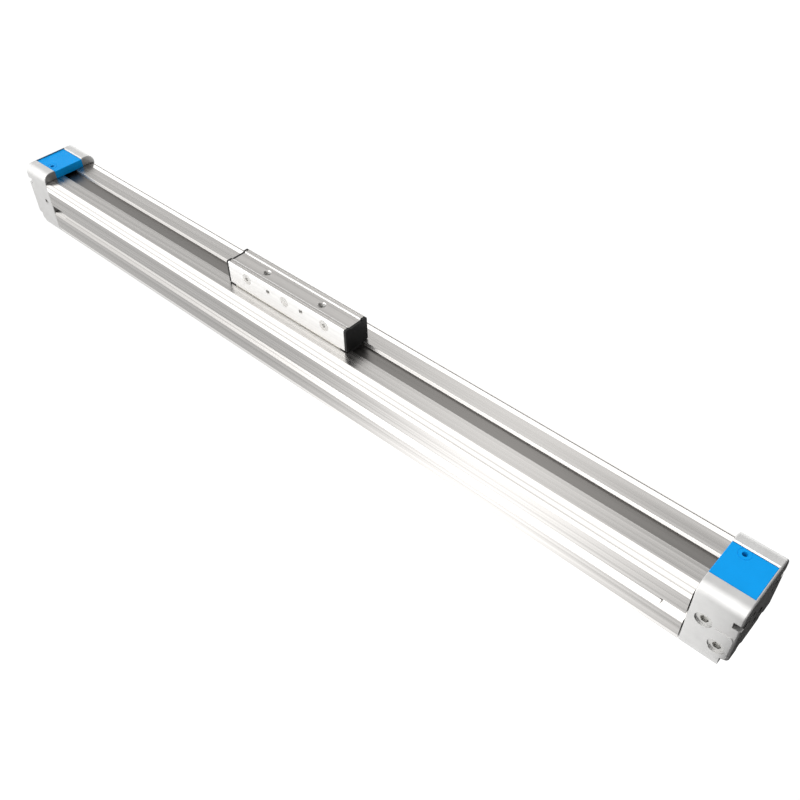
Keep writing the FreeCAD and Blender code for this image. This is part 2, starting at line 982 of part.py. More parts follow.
def cushion_spigot():
    # Hollow spigot that enters the piston and starts the cushioning.
    root = Vector(cap_inner + spigot_seat, 0, bore_height)
    tip = Vector(cap_inner - spigot_length, 0, bore_height)
    lead = tip + Vector(spigot_lead, 0, 0)
    body = rod(spigot_diameter, root, lead)
    body = body.fuse(cone(spigot_diameter, spigot_tip_diameter, lead, tip))
    return body.cut(rod(spigot_bore, root, tip))


def end_buffer():
    return ring(
        buffer_diameter,
        spigot_diameter + 2 * thread_clearance,
        Vector(cap_inner, 0, bore_height),
        Vector(cap_inner - buffer_thickness, 0, bore_height),
    )


# Band clamp and cover

def clamp_screw_places():
    x = cap_inner + clamp_setback + clamp_length / 2
    return [(x, side * clamp_screw_side) for side in (-1, 1)]


def clamp_top():
    return cover_floor + clamp_thickness


def clamp_threads():
    # Threads for the clamp screws, beside the band channel.
    bottom = clamp_top() - clamp_screw_length - clamp_thread_play
    hole = clamp_screw_diameter + 2 * thread_clearance
    return [
        rod(hole, Vector(x, y, bottom), Vector(x, y, cover_floor))
        for x, y in clamp_screw_places()
    ]


def countersunk_screw(diameter_gap, x, y):
    top = clamp_top()
    drop = (clamp_screw_head_diameter - clamp_screw_diameter) / 2
    head = cone(
        clamp_screw_head_diameter + diameter_gap,
        clamp_screw_diameter + diameter_gap,
        Vector(x, y, top),
        Vector(x, y, top - drop),
    )
    shank = rod(
        clamp_screw_diameter + diameter_gap,
        Vector(x, y, top - clamp_screw_length),
        Vector(x, y, top - drop / 2),
    )
    return head.fuse(shank)


def band_clamp():
    # Plate across the channel with a tongue that presses on the cover band.
    x_low = cap_inner + clamp_setback
    x_high = x_low + clamp_length
    half = clamp_width / 2
    tongue_half = cover_band_width / 2 - band_side_clearance
    tongue_base = cover_band_base + cover_band_thickness
    plate = block(x_low, x_high, -half, half, cover_floor, clamp_top())
    tongue = block(x_low, x_high, -tongue_half, tongue_half, tongue_base, clamp_top())
    holes = [countersunk_screw(2 * thread_clearance, x, y) for x, y in clamp_screw_places()]
    return plate.fuse(tongue).cut(holes)


def clamp_screws():
    screws = []
    for x, y in clamp_screw_places():
        top = Vector(x, y, clamp_top())
        socket = hex_socket(clamp_screw_key, top, top - Vector(0, 0, clamp_screw_key_depth))
        screws.append(countersunk_screw(0, x, y).cut(socket))
    return screws


def cover_screw_centre():
    x = cover_outer - cover_hole_setback
    return x, cover_hole_side


def cover_screw_thread():
    x, y = cover_screw_centre()
    diameter = cover_screw_diameter + 2 * thread_clearance
    bottom = cover_floor - cover_screw_grip - thread_overrun
    return rod(diameter, Vector(x, y, bottom), Vector(x, y, cover_floor))


def cover_screw():
    # Small screw at the bottom of the hole in the blue cover.
    x, y = cover_screw_centre()
    seat = cover_floor + cover_hole_floor
    top = seat + cover_screw_head_height
    tip = cover_floor - cover_screw_grip
    head = rod(cover_screw_head_diameter, Vector(x, y, seat), Vector(x, y, top))
    shank = rod(cover_screw_diameter, Vector(x, y, tip), Vector(x, y, seat))
    key_end = Vector(x, y, top - cover_screw_key_depth)
    return head.fuse(shank).cut(hex_socket(cover_screw_key, Vector(x, y, top), key_end))


def band_cover():
    # Blue moulded cover: a shell over the band clamp, with a boss for its screw.
    half = cover_width / 2
    x_low = cap_inner + cover_clearance
    solid = block(x_low, cover_outer, -half, half, cover_floor, cover_top)

    def top_edge(edge):
        box = edge.BoundBox
        return box.ZLength < same and abs(box.ZMax - cover_top) < same

    solid = round_edges(solid, cover_edge_radius, top_edge)
    hollow = block(
        x_low + cover_wall,
        cover_outer - cover_wall,
        -half + cover_wall,
        half - cover_wall,
        cover_floor - past,
        cover_top - cover_wall,
    )
    x, y = cover_screw_centre()
    boss = rod(cover_boss_diameter, Vector(x, y, cover_floor), Vector(x, y, cover_top))
    inside = block(x_low, cover_outer, -half, half, cover_floor, cover_top - cover_wall / 2)
    body = solid.cut(hollow).fuse(boss.common(inside))
    seat = cover_floor + cover_hole_floor
    cuts = [
        rod(cover_hole_diameter, Vector(x, y, seat), Vector(x, y, cover_top + past)),
        rod(
            cover_screw_diameter + 2 * cover_screw_clearance,
            Vector(x, y, cover_floor - past),
            Vector(x, y, seat),
        ),
        ring(
            cover_ring_diameter,
            cover_ring_diameter - 2 * cover_ring_width,
            Vector(x, y, cover_top - cover_ring_depth),
            Vector(x, y, cover_top + past),
        ),
    ]
    return body.cut(cuts)


# Carriage pieces, drawn about the carriage's middle

def carriage_outline():
    recess = carriage_recess_width / 2
    recess_floor = carriage_top - carriage_recess_depth
    return [
        (-carriage_side, carriage_low, carriage_foot_radius),
        (-cavity_half, carriage_low, 0),
        (-cavity_half, cavity_top, carriage_cavity_radius),
        (cavity_half, cavity_top, carriage_cavity_radius),
        (cavity_half, carriage_low, 0),
        (carriage_side, carriage_low, carriage_foot_radius),
        (carriage_side, carriage_top, carriage_corner_radius),
        (recess, carriage_top, carriage_recess_radius),
        (recess, recess_floor, carriage_recess_radius),
        (-recess, recess_floor, carriage_recess_radius),
        (-recess, carriage_top, carriage_recess_radius),
        (-carriage_side, carriage_top, carriage_corner_radius),
    ]


def edge_grooves():
    # Fine groove along the middle of each raised top strip.
    recess = carriage_recess_width / 2
    middle = (recess + carriage_side) / 2
    depth = carriage_groove_width / 2
    groove = block(
        -carriage_half,
        carriage_half,
        middle - depth,
        middle + depth,
        carriage_top - depth,
        carriage_top + past,
    )
    return both_sides(groove)


def top_threads():
    holes = []
    floor = carriage_top - carriage_recess_depth
    sink = (top_thread_sink_diameter - top_thread_diameter) / 2
    for side in (-1, 1):
        x = side * top_thread_spacing / 2
        holes.append(
            rod(top_thread_diameter, Vector(x, 0, cavity_top - past), Vector(x, 0, floor + past))
        )
        holes.append(
            cone(
                top_thread_diameter,
                top_thread_sink_diameter,
                Vector(x, 0, floor - sink),
                Vector(x, 0, floor),
            )
        )
    return holes


def side_screw_shape(diameter_gap):
    # Countersunk screw from the +Y side.
    drop = (side_screw_head_diameter - side_screw_diameter) / 2
    face = carriage_side
    x = side_screw_place
    z = side_hole_height
    head = cone(
        side_screw_head_diameter + diameter_gap,
        side_screw_diameter + diameter_gap,
        Vector(x, face, z),
        Vector(x, face - drop, z),
    )
    shank = rod(
        side_screw_diameter + diameter_gap,
        Vector(x, face - drop / 2, z),
        Vector(x, face - side_screw_length - diameter_gap, z),
    )
    return head.fuse(shank)


def fixing_screw_shape(diameter_gap, sink):
    # Set screw whose end lies this far below the side face.
    x = fixing_screw_place
    z = side_hole_height
    return rod(
        fixing_screw_diameter + diameter_gap,
        Vector(x, carriage_side - sink, z),
        Vector(x, carriage_side - fixing_screw_length - diameter_gap, z),
    )


def dowel_shape(diameter_gap):
    z = side_hole_height
    return rod(
        dowel_diameter + diameter_gap,
        Vector(0, carriage_side, z),
        Vector(0, carriage_side - dowel_length - diameter_gap, z),
    )


def all_corners(shape):
    # Four copies, at both ends and on both sides.
    return [copy for side in both_sides(shape) for copy in both_ways(side)]


def side_holes():
    gap = 2 * thread_clearance
    return (
        all_corners(side_screw_shape(gap))
        + all_corners(fixing_screw_shape(gap, 0))
        + both_sides(dowel_shape(gap))
    )


def carriage():
    bar = section_bar(carriage_outline(), -carriage_half, carriage_half)
    return bar.cut(edge_grooves() + top_threads() + side_holes())


def carriage_screws():
    screw = side_screw_shape(0)
    face = Vector(side_screw_place, carriage_side, side_hole_height)
    socket = hex_socket(side_screw_key, face, face - Vector(0, side_screw_key_depth, 0))
    return all_corners(screw.cut(socket))


def fixing_screws():
    screw = fixing_screw_shape(0, fixing_screw_sink)
    face = carriage_side - fixing_screw_sink
    top = Vector(fixing_screw_place, face, side_hole_height)
    socket = hex_socket(fixing_screw_key, top, top - Vector(0, fixing_screw_key_depth, 0))
    return all_corners(screw.cut(socket))


def centring_dowels():
    return both_sides(dowel_shape(0))


def end_plate():
    # Black end plate, with the slot that holds the wiper.
    half = carriage_side - end_plate_inset
    low = carriage_low - end_plate_drop
    top = carriage_top - end_plate_inset
    recess = carriage_recess_width / 2 + end_plate_inset
    recess_floor = top - carriage_recess_depth
    corners = [
        (-half, low, end_plate_low_radius),
        (half, low, end_plate_low_radius),
        (half, top, end_plate_top_radius),
        (recess, top, 0),
        (recess, recess_floor, 0),
        (-recess, recess_floor, 0),
        (-recess, top, 0),
        (-half, top, end_plate_top_radius),
    ]
    plate = section_bar(corners, carriage_half, carriage_half + end_plate_thickness)
    return plate.cut(band_wiper())


def band_wiper():
    # Wiper blade that sweeps the cover band.
    half = wiper_width / 2
    return block(
        carriage_half,
        carriage_half + wiper_thickness,
        -half,
        half,
        cover_band_base + cover_band_thickness + wiper_gap,
        carriage_low + wiper_rise,
    )


def slide_strips():
    # Low-friction strips under the carriage's walls.
    middle = carriage_side - carriage_wall / 2
    half = strip_width / 2
    strip = block(
        -strip_half,
        strip_half,
        middle - half,
        middle + half,
        carriage_low - strip_height,
        carriage_low,
    )
    return both_sides(strip)


def driver():
    # Neck through the slot, with a window for the cover band above
    # and a base that sits on the piston over the sealing band.
    neck_half = driver_neck_width / 2
    length = driver_half
    head_top = cavity_top - inner_clearance
    level = driver_base_level
    head = block(-length, length, -inner_half, inner_half, carriage_low, head_top)
    neck = block(-length, length, -neck_half, neck_half, level, carriage_low + past)
    base = block(-length, length, -driver_base_half, driver_base_half, level, driver_base_top)
    window = block(
        -length - past,
        length + past,
        -driver_window_width / 2,
        driver_window_width / 2,
        driver_window_low,
        driver_window_top,
    )
    body = head.fuse([neck, base])

    def neck_end(edge):
        box = edge.BoundBox
        upright = box.XLength < same and box.YLength < same
        return upright and abs(abs(box.YMax) - neck_half) < same

    body = round_edges(body, neck_half * driver_neck_end_ratio, neck_end)
    holes = side_holes() + base_screw_holes()
    return body.cut([window] + holes)


def base_screw_places():
    return [
        (x_side * base_screw_place, y_side * base_screw_side)
        for x_side in (-1, 1)
        for y_side in (-1, 1)
    ]


def base_screw_holes():
    return [base_screw_shape(x, y, 2 * thread_clearance) for x, y in base_screw_places()]


def base_screw_shape(x, y, diameter_gap):
    top = Vector(x, y, driver_base_top)
    tip = top - Vector(0, 0, base_screw_length + diameter_gap)
    seat = top - Vector(0, 0, base_screw_head_height)
    shank = rod(base_screw_diameter + diameter_gap, tip, seat)
    return shank.fuse(rod(base_screw_head_diameter + diameter_gap, seat, top))


def base_screws():
    return [base_screw_shape(x, y, 0) for x, y in base_screw_places()]


def band_guide():
    # Block inside the carriage that presses the cover band back into its channel.
    band_top = cover_band_base + cover_band_thickness
    x_low = band_guide_inner
    x_high = carriage_half - inner_clearance
    wide = block(
        x_low, x_high, -inner_half, inner_half, carriage_low, cavity_top - inner_clearance
    )
    narrow_half = cover_band_width / 2 - band_side_clearance
    narrow = block(x_low, x_high, -narrow_half, narrow_half, channel_floor, carriage_low + past)
    above_band = space_over_band(
        band_top + band_guide_gap, cover_band_lift, cover_band_reach, 2 * carriage_width
    )
    body = wide.fuse(narrow).common(above_band)
    return body.cut(side_holes() + top_threads())


# Piston pieces, drawn about the carriage's middle

def along_bore(diameter, x_low, x_high):
    return rod(diameter, Vector(x_low, 0, bore_height), Vector(x_high, 0, bore_height))


def piston_diameter():
    return bore - 2 * piston_clearance


def piston_body():
    half = piston_body_half
    body = along_bore(piston_diameter(), -half, half)
    channel = space_over_band(
        piston_channel_floor + seal_band_drop,
        -seal_band_drop,
        seal_band_reach,
        piston_channel_width,
    )
    seat = block(
        -driver_half - inner_clearance,
        driver_half + inner_clearance,
        -bore,
        bore,
        driver_base_level,
        seal_roof + bore,
    )
    cuts = [channel, seat]
    stub = piston_stub_diameter + 2 * thread_clearance
    stub_low = half - piston_stub_length - piston_stub_play
    cuts.extend(both_ways(along_bore(stub, stub_low, half)))
    cuts.extend(both_ways(cross_pin_shape(2 * thread_clearance)))
    cuts.extend(base_screw_holes())
    return body.cut(cuts)


def cross_pin_shape(diameter_gap):
    x = piston_body_half - piston_stub_length / 2
    reach = piston_diameter() / 2 - cross_pin_sink
    return rod(
        cross_pin_diameter + diameter_gap,
        Vector(x, -reach - 2 * diameter_gap, bore_height),
        Vector(x, reach + 2 * diameter_gap, bore_height),
    )


def cross_pins():
    return both_ways(cross_pin_shape(0))


def piston_head():
    # Piston end with its grooves, its cushion bore and the stub that joins it to the body.
    start = piston_body_half
    end = piston_half
    body = along_bore(piston_diameter(), start + magnet_length, end)
    magnet_seat = magnet_bore - 2 * thread_clearance
    body = body.fuse(along_bore(magnet_seat, start, start + magnet_length + past))
    body = body.fuse(along_bore(piston_stub_diameter, start - piston_stub_length, start + past))
    seal_low = end - seal_setback
    guide_low = end - guide_ring_setback
    diameter = piston_diameter()
    cuts = [
        ring_groove(diameter - 2 * seal_depth, seal_low, seal_low + seal_width),
        ring_groove(diameter - 2 * guide_ring_depth, guide_low, guide_low + guide_ring_width),
        along_bore(cushion_bore, end - cushion_bore_depth, end + past),
        cross_pin_shape(2 * thread_clearance),
    ]
    seat_low = end - cushion_seal_setback - cushion_seal_width
    cuts.append(
        along_bore(
            cushion_seal_diameter + 2 * thread_clearance,
            seat_low,
            seat_low + cushion_seal_width,
        )
    )
    return body.cut(cuts)


def ring_groove(inner_diameter, x_low, x_high):
    outer = bore + 2 * past
    return along_bore(outer, x_low, x_high).cut(along_bore(inner_diameter, x_low, x_high))


def groove_ring(depth, setback, width, lip):
    # Ring seated in a groove of the piston head, with a running fit in the bore.
    inner = piston_diameter() - 2 * depth + 2 * thread_clearance
    outer = bore - 2 * running_clearance
    low = piston_half - setback + thread_clearance
    high = piston_half - setback + width - thread_clearance
    body = along_bore(outer, low, high).cut(along_bore(inner, low, high))
    if lip <= 0:
        return body
    # Lip seal: the pressure side is hollowed between its two lips.
    middle_out = outer - lip
    middle_in = inner + lip
    hollow = along_bore(middle_out, high - width / 2, high + past)
    hollow = hollow.cut(along_bore(middle_in, high - width / 2, high + past))
    return body.cut(hollow)


def piston_seal():
    return groove_ring(seal_depth, seal_setback, seal_width, seal_lip)


def guide_ring():
    return groove_ring(guide_ring_depth, guide_ring_setback, guide_ring_width, 0)


def piston_magnet():
    start = piston_body_half + thread_clearance
    end = start + magnet_length - 2 * thread_clearance
    outer = along_bore(piston_diameter(), start, end)
    return outer.cut(along_bore(magnet_bore, start, end))


def cushion_seal():
    low = piston_half - cushion_seal_setback - cushion_seal_width + thread_clearance
    high = piston_half - cushion_seal_setback - thread_clearance
    outer = along_bore(cushion_seal_diameter, low, high)
    return outer.cut(along_bore(spigot_diameter + 2 * running_clearance, low, high))


# Writing the nodes

def save(name, shapes):
    if not isinstance(shapes, list):
        shapes = [shapes]
    solids = []
    for shape in shapes:
        solids.extend(shape.removeSplitter().Solids)
    Part.makeCompound(solids).exportStep(os.path.join("parts", name + ".step"))


def save_pair(name, shape):
    # One node at each end of the body.
    save(name + "_near", shape)
    save(name + "_far", turned(shape))


def save_on_carriage(name, shapes):
    if not isinstance(shapes, list):
        shapes = [shapes]
    save(name, [at_carriage(shape) for shape in shapes])


def save_carriage_pair(name, shape):
    save_on_carriage(name + "_near", shape)
    save_on_carriage(name + "_far", turned(shape))


def with_turned(shapes):
    return shapes + [turned(shape) for shape in shapes]


save("barrel", barrel())
save("cover_band", cover_band())
save("sealing_band", sealing_band())
save_pair("end_cap", end_cap())
save_pair("cap_gasket", cap_gasket())
save_pair("band_cover", band_cover())
save_pair("band_clamp", band_clamp())
save_pair("cushion_screw", cushion_screw())
save_pair("cushion_spigot", cushion_spigot())
save_pair("end_buffer", end_buffer())
save("cap_screws", with_turned(cap_screws()))
save("port_plugs", with_turned(port_plugs()))
save("clamp_screws", with_turned(clamp_screws()))
save("cover_screws", with_turned([cover_screw()]))
save_on_carriage("carriage", carriage())
save_on_carriage("carriage_screws", carriage_screws())
save_on_carriage("fixing_screws", fixing_screws())
save_on_carriage("centring_dowels", centring_dowels())
save_on_carriage("slide_strips", slide_strips())
save_carriage_pair("end_plate", end_plate())
save_carriage_pair("band_wiper", band_wiper())
save_carriage_pair("band_guide", band_guide())
save_on_carriage("driver", driver())
save_on_carriage("driver_base_screws", base_screws())
save_on_carriage("piston_body", piston_body())
save_carriage_pair("piston_head", piston_head())
save_carriage_pair("piston_seal", piston_seal())
save_carriage_pair("piston_guide_ring", guide_ring())
save_carriage_pair("piston_magnet", piston_magnet())
save_carriage_pair("cushion_seal", cushion_seal())
save_on_carriage("piston_pins", cross_pins())
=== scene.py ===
# %% [markdown]
# # A rodless pneumatic cylinder
# Air drives a piston inside a long aluminium barrel, and a driver through a slot takes the
# carriage along. A steel band closes the slot. The solids come from the CAD model, in metres,
# with +X along the barrel and +Z up through the carriage. They could be built once more in
# Blender, but two models of one thing drift apart. So this lesson keeps the solids as they are.
# It gives each one a finish, adds what is too fine for them, such as screw threads, and sets up
# a camera and a light studio.

# %% Load the model
import json
import math

import bpy
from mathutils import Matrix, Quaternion, Vector


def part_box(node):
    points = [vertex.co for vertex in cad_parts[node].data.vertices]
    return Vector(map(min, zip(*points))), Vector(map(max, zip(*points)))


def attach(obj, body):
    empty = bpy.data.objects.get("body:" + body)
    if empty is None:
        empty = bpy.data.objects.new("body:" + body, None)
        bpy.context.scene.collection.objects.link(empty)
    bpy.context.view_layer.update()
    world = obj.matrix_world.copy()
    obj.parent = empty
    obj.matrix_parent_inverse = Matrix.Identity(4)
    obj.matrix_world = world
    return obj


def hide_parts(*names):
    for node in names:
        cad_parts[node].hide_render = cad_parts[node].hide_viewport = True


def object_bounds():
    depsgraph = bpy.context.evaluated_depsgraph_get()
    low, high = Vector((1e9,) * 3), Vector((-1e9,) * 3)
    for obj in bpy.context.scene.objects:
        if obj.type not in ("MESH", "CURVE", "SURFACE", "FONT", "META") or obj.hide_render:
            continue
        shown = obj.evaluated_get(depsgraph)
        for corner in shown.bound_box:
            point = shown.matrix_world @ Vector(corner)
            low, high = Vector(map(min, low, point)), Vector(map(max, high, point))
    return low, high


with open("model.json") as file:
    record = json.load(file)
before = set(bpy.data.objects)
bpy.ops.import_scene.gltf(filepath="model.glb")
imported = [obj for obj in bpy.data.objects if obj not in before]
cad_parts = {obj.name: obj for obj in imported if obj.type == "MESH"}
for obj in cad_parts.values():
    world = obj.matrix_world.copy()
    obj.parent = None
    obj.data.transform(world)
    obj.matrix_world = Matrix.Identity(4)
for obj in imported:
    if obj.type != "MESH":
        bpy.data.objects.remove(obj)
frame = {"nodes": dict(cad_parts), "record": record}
cad_low, cad_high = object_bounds()
MM = 0.001
print("nodes:", len(frame["nodes"]), "size in m:", [round(v, 3) for v in cad_high - cad_low])

# %% [markdown]
# ## The camera
# The picture was taken from close by, above the near end and a little to the side with the
# ports. So the barrel tapers strongly towards its far end. A longer lens from further away
# would be easier to aim, but that taper would be lost. Three things describe the camera: where
# it stands, what lies in the middle of the picture, and how far the horizon leans.

# %% Camera
camera_place = Vector((0.3950, -0.3396, 0.4804))
camera_target = Vector((0.08458, -0.00598, 0.0300))
camera_lean = math.radians(-1.23)
focal_pixels = 917.9
picture_pixels = 800

camera_data = bpy.data.cameras.new("studio_camera")
camera_data.sensor_width = 36.0
camera_data.lens = camera_data.sensor_width * focal_pixels / picture_pixels
camera_data.clip_start = 0.01
camera = bpy.data.objects.new("studio_camera", camera_data)
bpy.context.scene.collection.objects.link(camera)
camera.location = camera_place
look = (camera_target - camera_place).to_track_quat("-Z", "Y")
lean = Quaternion((0, 0, 1), camera_lean)
camera.rotation_mode = "QUATERNION"
camera.rotation_quaternion = look @ lean
bpy.context.scene.camera = camera
print("lens in mm:", round(camera_data.lens, 1))

# %% [markdown]
# ## Shader maths
# A finish is a recipe of small calculations on every point of a surface. It could be wired up
# by hand in the shader editor, node by node. Written as Python expressions it reads like
# ordinary maths and can be used again. `Signal` wraps one output socket, and each operator on
# it adds the Math node that does the sum.

# %% Signals
class Signal:
    """A number or vector that flows from one node to the next."""

    def __init__(self, finish, socket):
        self.finish = finish
        self.socket = socket

    def _sum(self, operation, first, second):
        return self.finish.node(
            "ShaderNodeMath", {"operation": operation}, {0: first, 1: second}
        )

    def __add__(self, other):
        return self._sum("ADD", self, other)

    def __radd__(self, other):
        return self._sum("ADD", other, self)

    def __sub__(self, other):
        return self._sum("SUBTRACT", self, other)

    def __rsub__(self, other):
        return self._sum("SUBTRACT", other, self)

    def __mul__(self, other):
        return self._sum("MULTIPLY", self, other)

    def __rmul__(self, other):
        return self._sum("MULTIPLY", other, self)

    def size(self):
        return self._sum("ABSOLUTE", self, 0.0)

    def side(self):
        return self._sum("SIGN", self, 0.0)

    def exponential(self):
        return self._sum("EXPONENT", self, 0.0)

    def clipped(self):
        return self.finish.node("ShaderNodeClamp", {}, {"Value": self})

    def above(self, level, gain):
        # 0 up to the level, then rising to 1 over a width of 1 / gain.
        return ((self - level) * gain).clipped()

    def below(self, level, gain):
        # 0 from the level on, and 1 where the value is 1 / gain or more under it.
        return ((level - self) * gain).clipped()


print("signals ready")

# %% [markdown]
# `Finish` holds one material and its shader. Each node type could have a function of its own,
# but that would be a dozen to look after. One method is enough: it takes the node's type, its
# settings and the values of its sockets. The settings go in first, because they decide which
# sockets a node has.

# %% Finishes
class Finish:
    """One material, its shader and the method that adds nodes to it."""

    def __init__(self, name):
        self.material = bpy.data.materials.new(name)
        self.material.use_nodes = True
        self.tree = self.material.node_tree
        self.tree.nodes.clear()
        self.shader = self.tree.nodes.new("ShaderNodeBsdfPrincipled")
        output = self.tree.nodes.new("ShaderNodeOutputMaterial")
        self.tree.links.new(self.shader.outputs[0], output.inputs[0])

    def node(self, kind, settings, values, output=0):
        made = self.tree.nodes.new(kind)
        for name, value in settings.items():
            setattr(made, name, value)
        for name, value in values.items():
            self.plug(made.inputs[name], value)
        return Signal(self, made.outputs[output])

    def plug(self, socket, value):
        if isinstance(value, Signal):
            self.tree.links.new(value.socket, socket)
        else:
            socket.default_value = value

    def surface(self, **values):
        # Values of the shader's own sockets, with underscores for spaces.
        for name, value in values.items():
            self.plug(self.shader.inputs[name.replace("_", " ")], value)
        return self.material


finishes = {}
print("finishes ready")

# %% [markdown]
# ## Where a point lies and which way it faces
# A pattern has to know its place on the part. A picture wrapped round the part would need
# seams. Object coordinates need none, and they are in metres on the real part, so every pattern
# gets its true scale. The normal tells which way the surface faces.

# %% Places and normals
AXES = {"X": Vector((1, 0, 0)), "Y": Vector((0, 1, 0)), "Z": Vector((0, 0, 1))}


def place_on_part(finish):
    return finish.node("ShaderNodeTexCoord", {}, {}, output="Object")


def true_normal(finish):
    return finish.node("ShaderNodeNewGeometry", {}, {}, output="Normal")


def axis_value(finish, vector, axis):
    # One of the three numbers of a vector.
    return finish.node("ShaderNodeSeparateXYZ", {}, {"Vector": vector}, output=axis)


def vector_sum(finish, operation, first, second, output=0):
    return finish.node(
        "ShaderNodeVectorMath", {"operation": operation}, {0: first, 1: second}, output=output
    )


print("places and normals ready")

# %% [markdown]
# ## Patterns that the finishes share
# A die leaves streaks along an extrusion, and blasting or moulding leaves a fine grain. Both
# could be pictures, but a picture repeats and blurs close up. Noise does neither. Squeezed
# along one axis it gives streaks, and left alone it gives grain.

# %% Streaks and grain
def noise(finish, vector, per_metre, detail):
    return finish.node(
        "ShaderNodeTexNoise", {}, {"Vector": vector, "Scale": per_metre, "Detail": detail}
    )


def streaks(finish, across_mm, along="X", stretch=400.0, detail=3.0):
    # Lines about across_mm wide that run on for stretch times their width.
    squeeze = Vector((1, 1, 1)) - AXES[along] * (1 - 1 / stretch)
    vector = vector_sum(finish, "MULTIPLY", place_on_part(finish), squeeze)
    return noise(finish, vector, 1 / (across_mm * MM), detail)


def grain(finish, size_mm, detail=2.0):
    return noise(finish, place_on_part(finish), 1 / (size_mm * MM), detail)


def contrast(value, amount):
    # Spreads a pattern wider around one half.
    return (value - 0.5) * amount + 0.5


print("streaks and grain ready")

# %% [markdown]
# Edges that are handled get rubbed bright. They could be painted one by one. The Bevel node
# finds them all instead: it gives the normal that a rounded edge would have, and where that
# leaves the true normal there is an edge.

# %% Rubbed edges
edge_gain = 6.0


def rubbed_edges(finish, radius_mm):
    # 1 on the sharp edges and 0 on the flats.
    rounded = finish.node("ShaderNodeBevel", {"samples": 4}, {"Radius": radius_mm * MM})
    agrees = vector_sum(finish, "DOT_PRODUCT", true_normal(finish), rounded, output="Value")
    return agrees.below(1.0, edge_gain)


print("edges rubbed with a gain of", edge_gain)

# %% [markdown]
# A pattern becomes a finish when it mixes two colours, sets how rough the surface is, or dents
# it. A Math node would turn a colour grey, so colours and vectors go through the Mix node. It
# has two inputs and an output for each kind of value, and only their places tell them apart.

# %% Mixing and bumps
MIX_PLACES = {"VECTOR": (4, 5, 1), "RGBA": (6, 7, 2)}


def mixed(finish, kind, factor, first, second):
    first_place, second_place, output = MIX_PLACES[kind]
    return finish.node(
        "ShaderNodeMix",
        {"data_type": kind},
        {"Factor": factor, first_place: first, second_place: second},
        output=output,
    )


def mixed_vectors(finish, factor, first, second):
    return mixed(finish, "VECTOR", factor, first, second)


def mixed_colours(finish, factor, *pair):
    # Each colour is three numbers, or flows in from another mix.
    first, second = [c if isinstance(c, Signal) else (*c, 1.0) for c in pair]
    return mixed(finish, "RGBA", factor, first, second)


def mixed_numbers(share, first, last):
    return first + share * (last - first)


def bump(finish, height, depth_mm, strength, base=None):
    values = {"Height": height, "Distance": depth_mm * MM, "Strength": strength}
    if base is not None:
        values["Normal"] = base
    return finish.node("ShaderNodeBump", {}, values)


print("mixes for:", sorted(MIX_PLACES))

# %% [markdown]
# ## Drawn aluminium
# The barrel and the carriage's bar are pressed through a die and then clear anodised. The die
# leaves fine lines along the length, some brighter and some duller. A single layer of streaks
# would look like brushed sheet. Two layers look like a drawn bar: broad bands of tone, and fine
# lines that also dent the surface a little.

# %% Drawn streaks
drawn_line_mm = 0.012


def drawn_streaks(finish):
    # A tone around one half for colour and roughness, and the fine lines for the bump.
    broad = streaks(finish, across_mm=2.2, stretch=400.0)
    fine = streaks(finish, across_mm=0.25, stretch=900.0)
    return contrast(broad * 0.7 + fine * 0.3, amount=2.6), fine


print("drawn lines are", drawn_line_mm, "mm deep")

# %% [markdown]
# ## The barrel's rolled forms
# A die never draws a crisp corner. The lands beside the barrel's rounded corner roll over
# softly, and so do the lips of the sensor slots and the walls of the band channel. That is why
# they shine white along their whole length, and the shoulders also get a painted highlight in
# their colour. Such forms could be modelled, but they would need many thin faces. Here the
# finish turns the normal instead, the trick that smooth shading plays too. One helper gives the
# normal of a leaning face, the others tell where it is used.

# %% Leaning normals and areas of the section
mask_gain = 20 / MM


def leaning(finish, sideways, upwards):
    # Worked out on the part and then turned to the world, so it holds when a piece moves.
    lean = finish.node("ShaderNodeCombineXYZ", {}, {"Y": sideways, "Z": upwards})
    settings = {"vector_type": "NORMAL", "convert_from": "OBJECT", "convert_to": "WORLD"}
    turned = finish.node("ShaderNodeVectorTransform", settings, {"Vector": lean})
    return vector_sum(finish, "NORMALIZE", turned, Vector((0, 0, 0)))


def between(value, low_mm, high_mm):
    # 1 between the two levels, 0 outside.
    return value.above(low_mm * MM, mask_gain) * value.below(high_mm * MM, mask_gain)


def inside_area(y, z, area):
    # An area has a range of distances from the middle and a range of heights, both in mm.
    return between(y.size(), *area["side"]) * between(z, *area["height"])


def soft_line(value, middle_mm, reach_mm):
    # 1 in the middle of a line, falling evenly to 0 on both sides.
    return (value - middle_mm * MM).size().below(reach_mm * MM, 1 / (reach_mm * MM))


print("areas end within", 1 / mask_gain / MM, "mm")

# %% [markdown]
# Across the whole shoulder the normal leans outwards, by about 20 degrees on top and 30 at the
# side. A true quarter circle would show only a thin bright line. The lean is used only where
# the true normal is not too different, so grooves, walls and end faces keep their own.

# %% Rolled shoulder
shoulder_width = 7.5 * MM
shoulder_side = 18.5 * MM
shoulder_height = 42.5 * MM
lean_on_top = (0.36, 0.92)
lean_at_side = (0.52, 0.86)
least_agreement = 0.35


def rolled_shoulder(finish, y, z):
    # The share runs from 0 on top of the shoulder to 1 at its side.
    out = y.size().above(shoulder_side, 1 / shoulder_width)
    high = z.above(shoulder_height, 1 / shoulder_width)
    share = (1 + out - high) * 0.5
    sideways = mixed_numbers(share, lean_on_top[0], lean_at_side[0])
    upwards = mixed_numbers(share, lean_on_top[1], lean_at_side[1])
    roll = leaning(finish, y.side() * sideways, upwards)
    agrees = vector_sum(finish, "DOT_PRODUCT", roll, true_normal(finish), output="Value")
    inside = out.above(level=0.0, gain=60.0) * high.above(level=0.0, gain=60.0)
    return roll, agrees.above(least_agreement, gain=10.0) * inside


print("shoulder starts", round(shoulder_side / MM, 1), "mm from the middle")

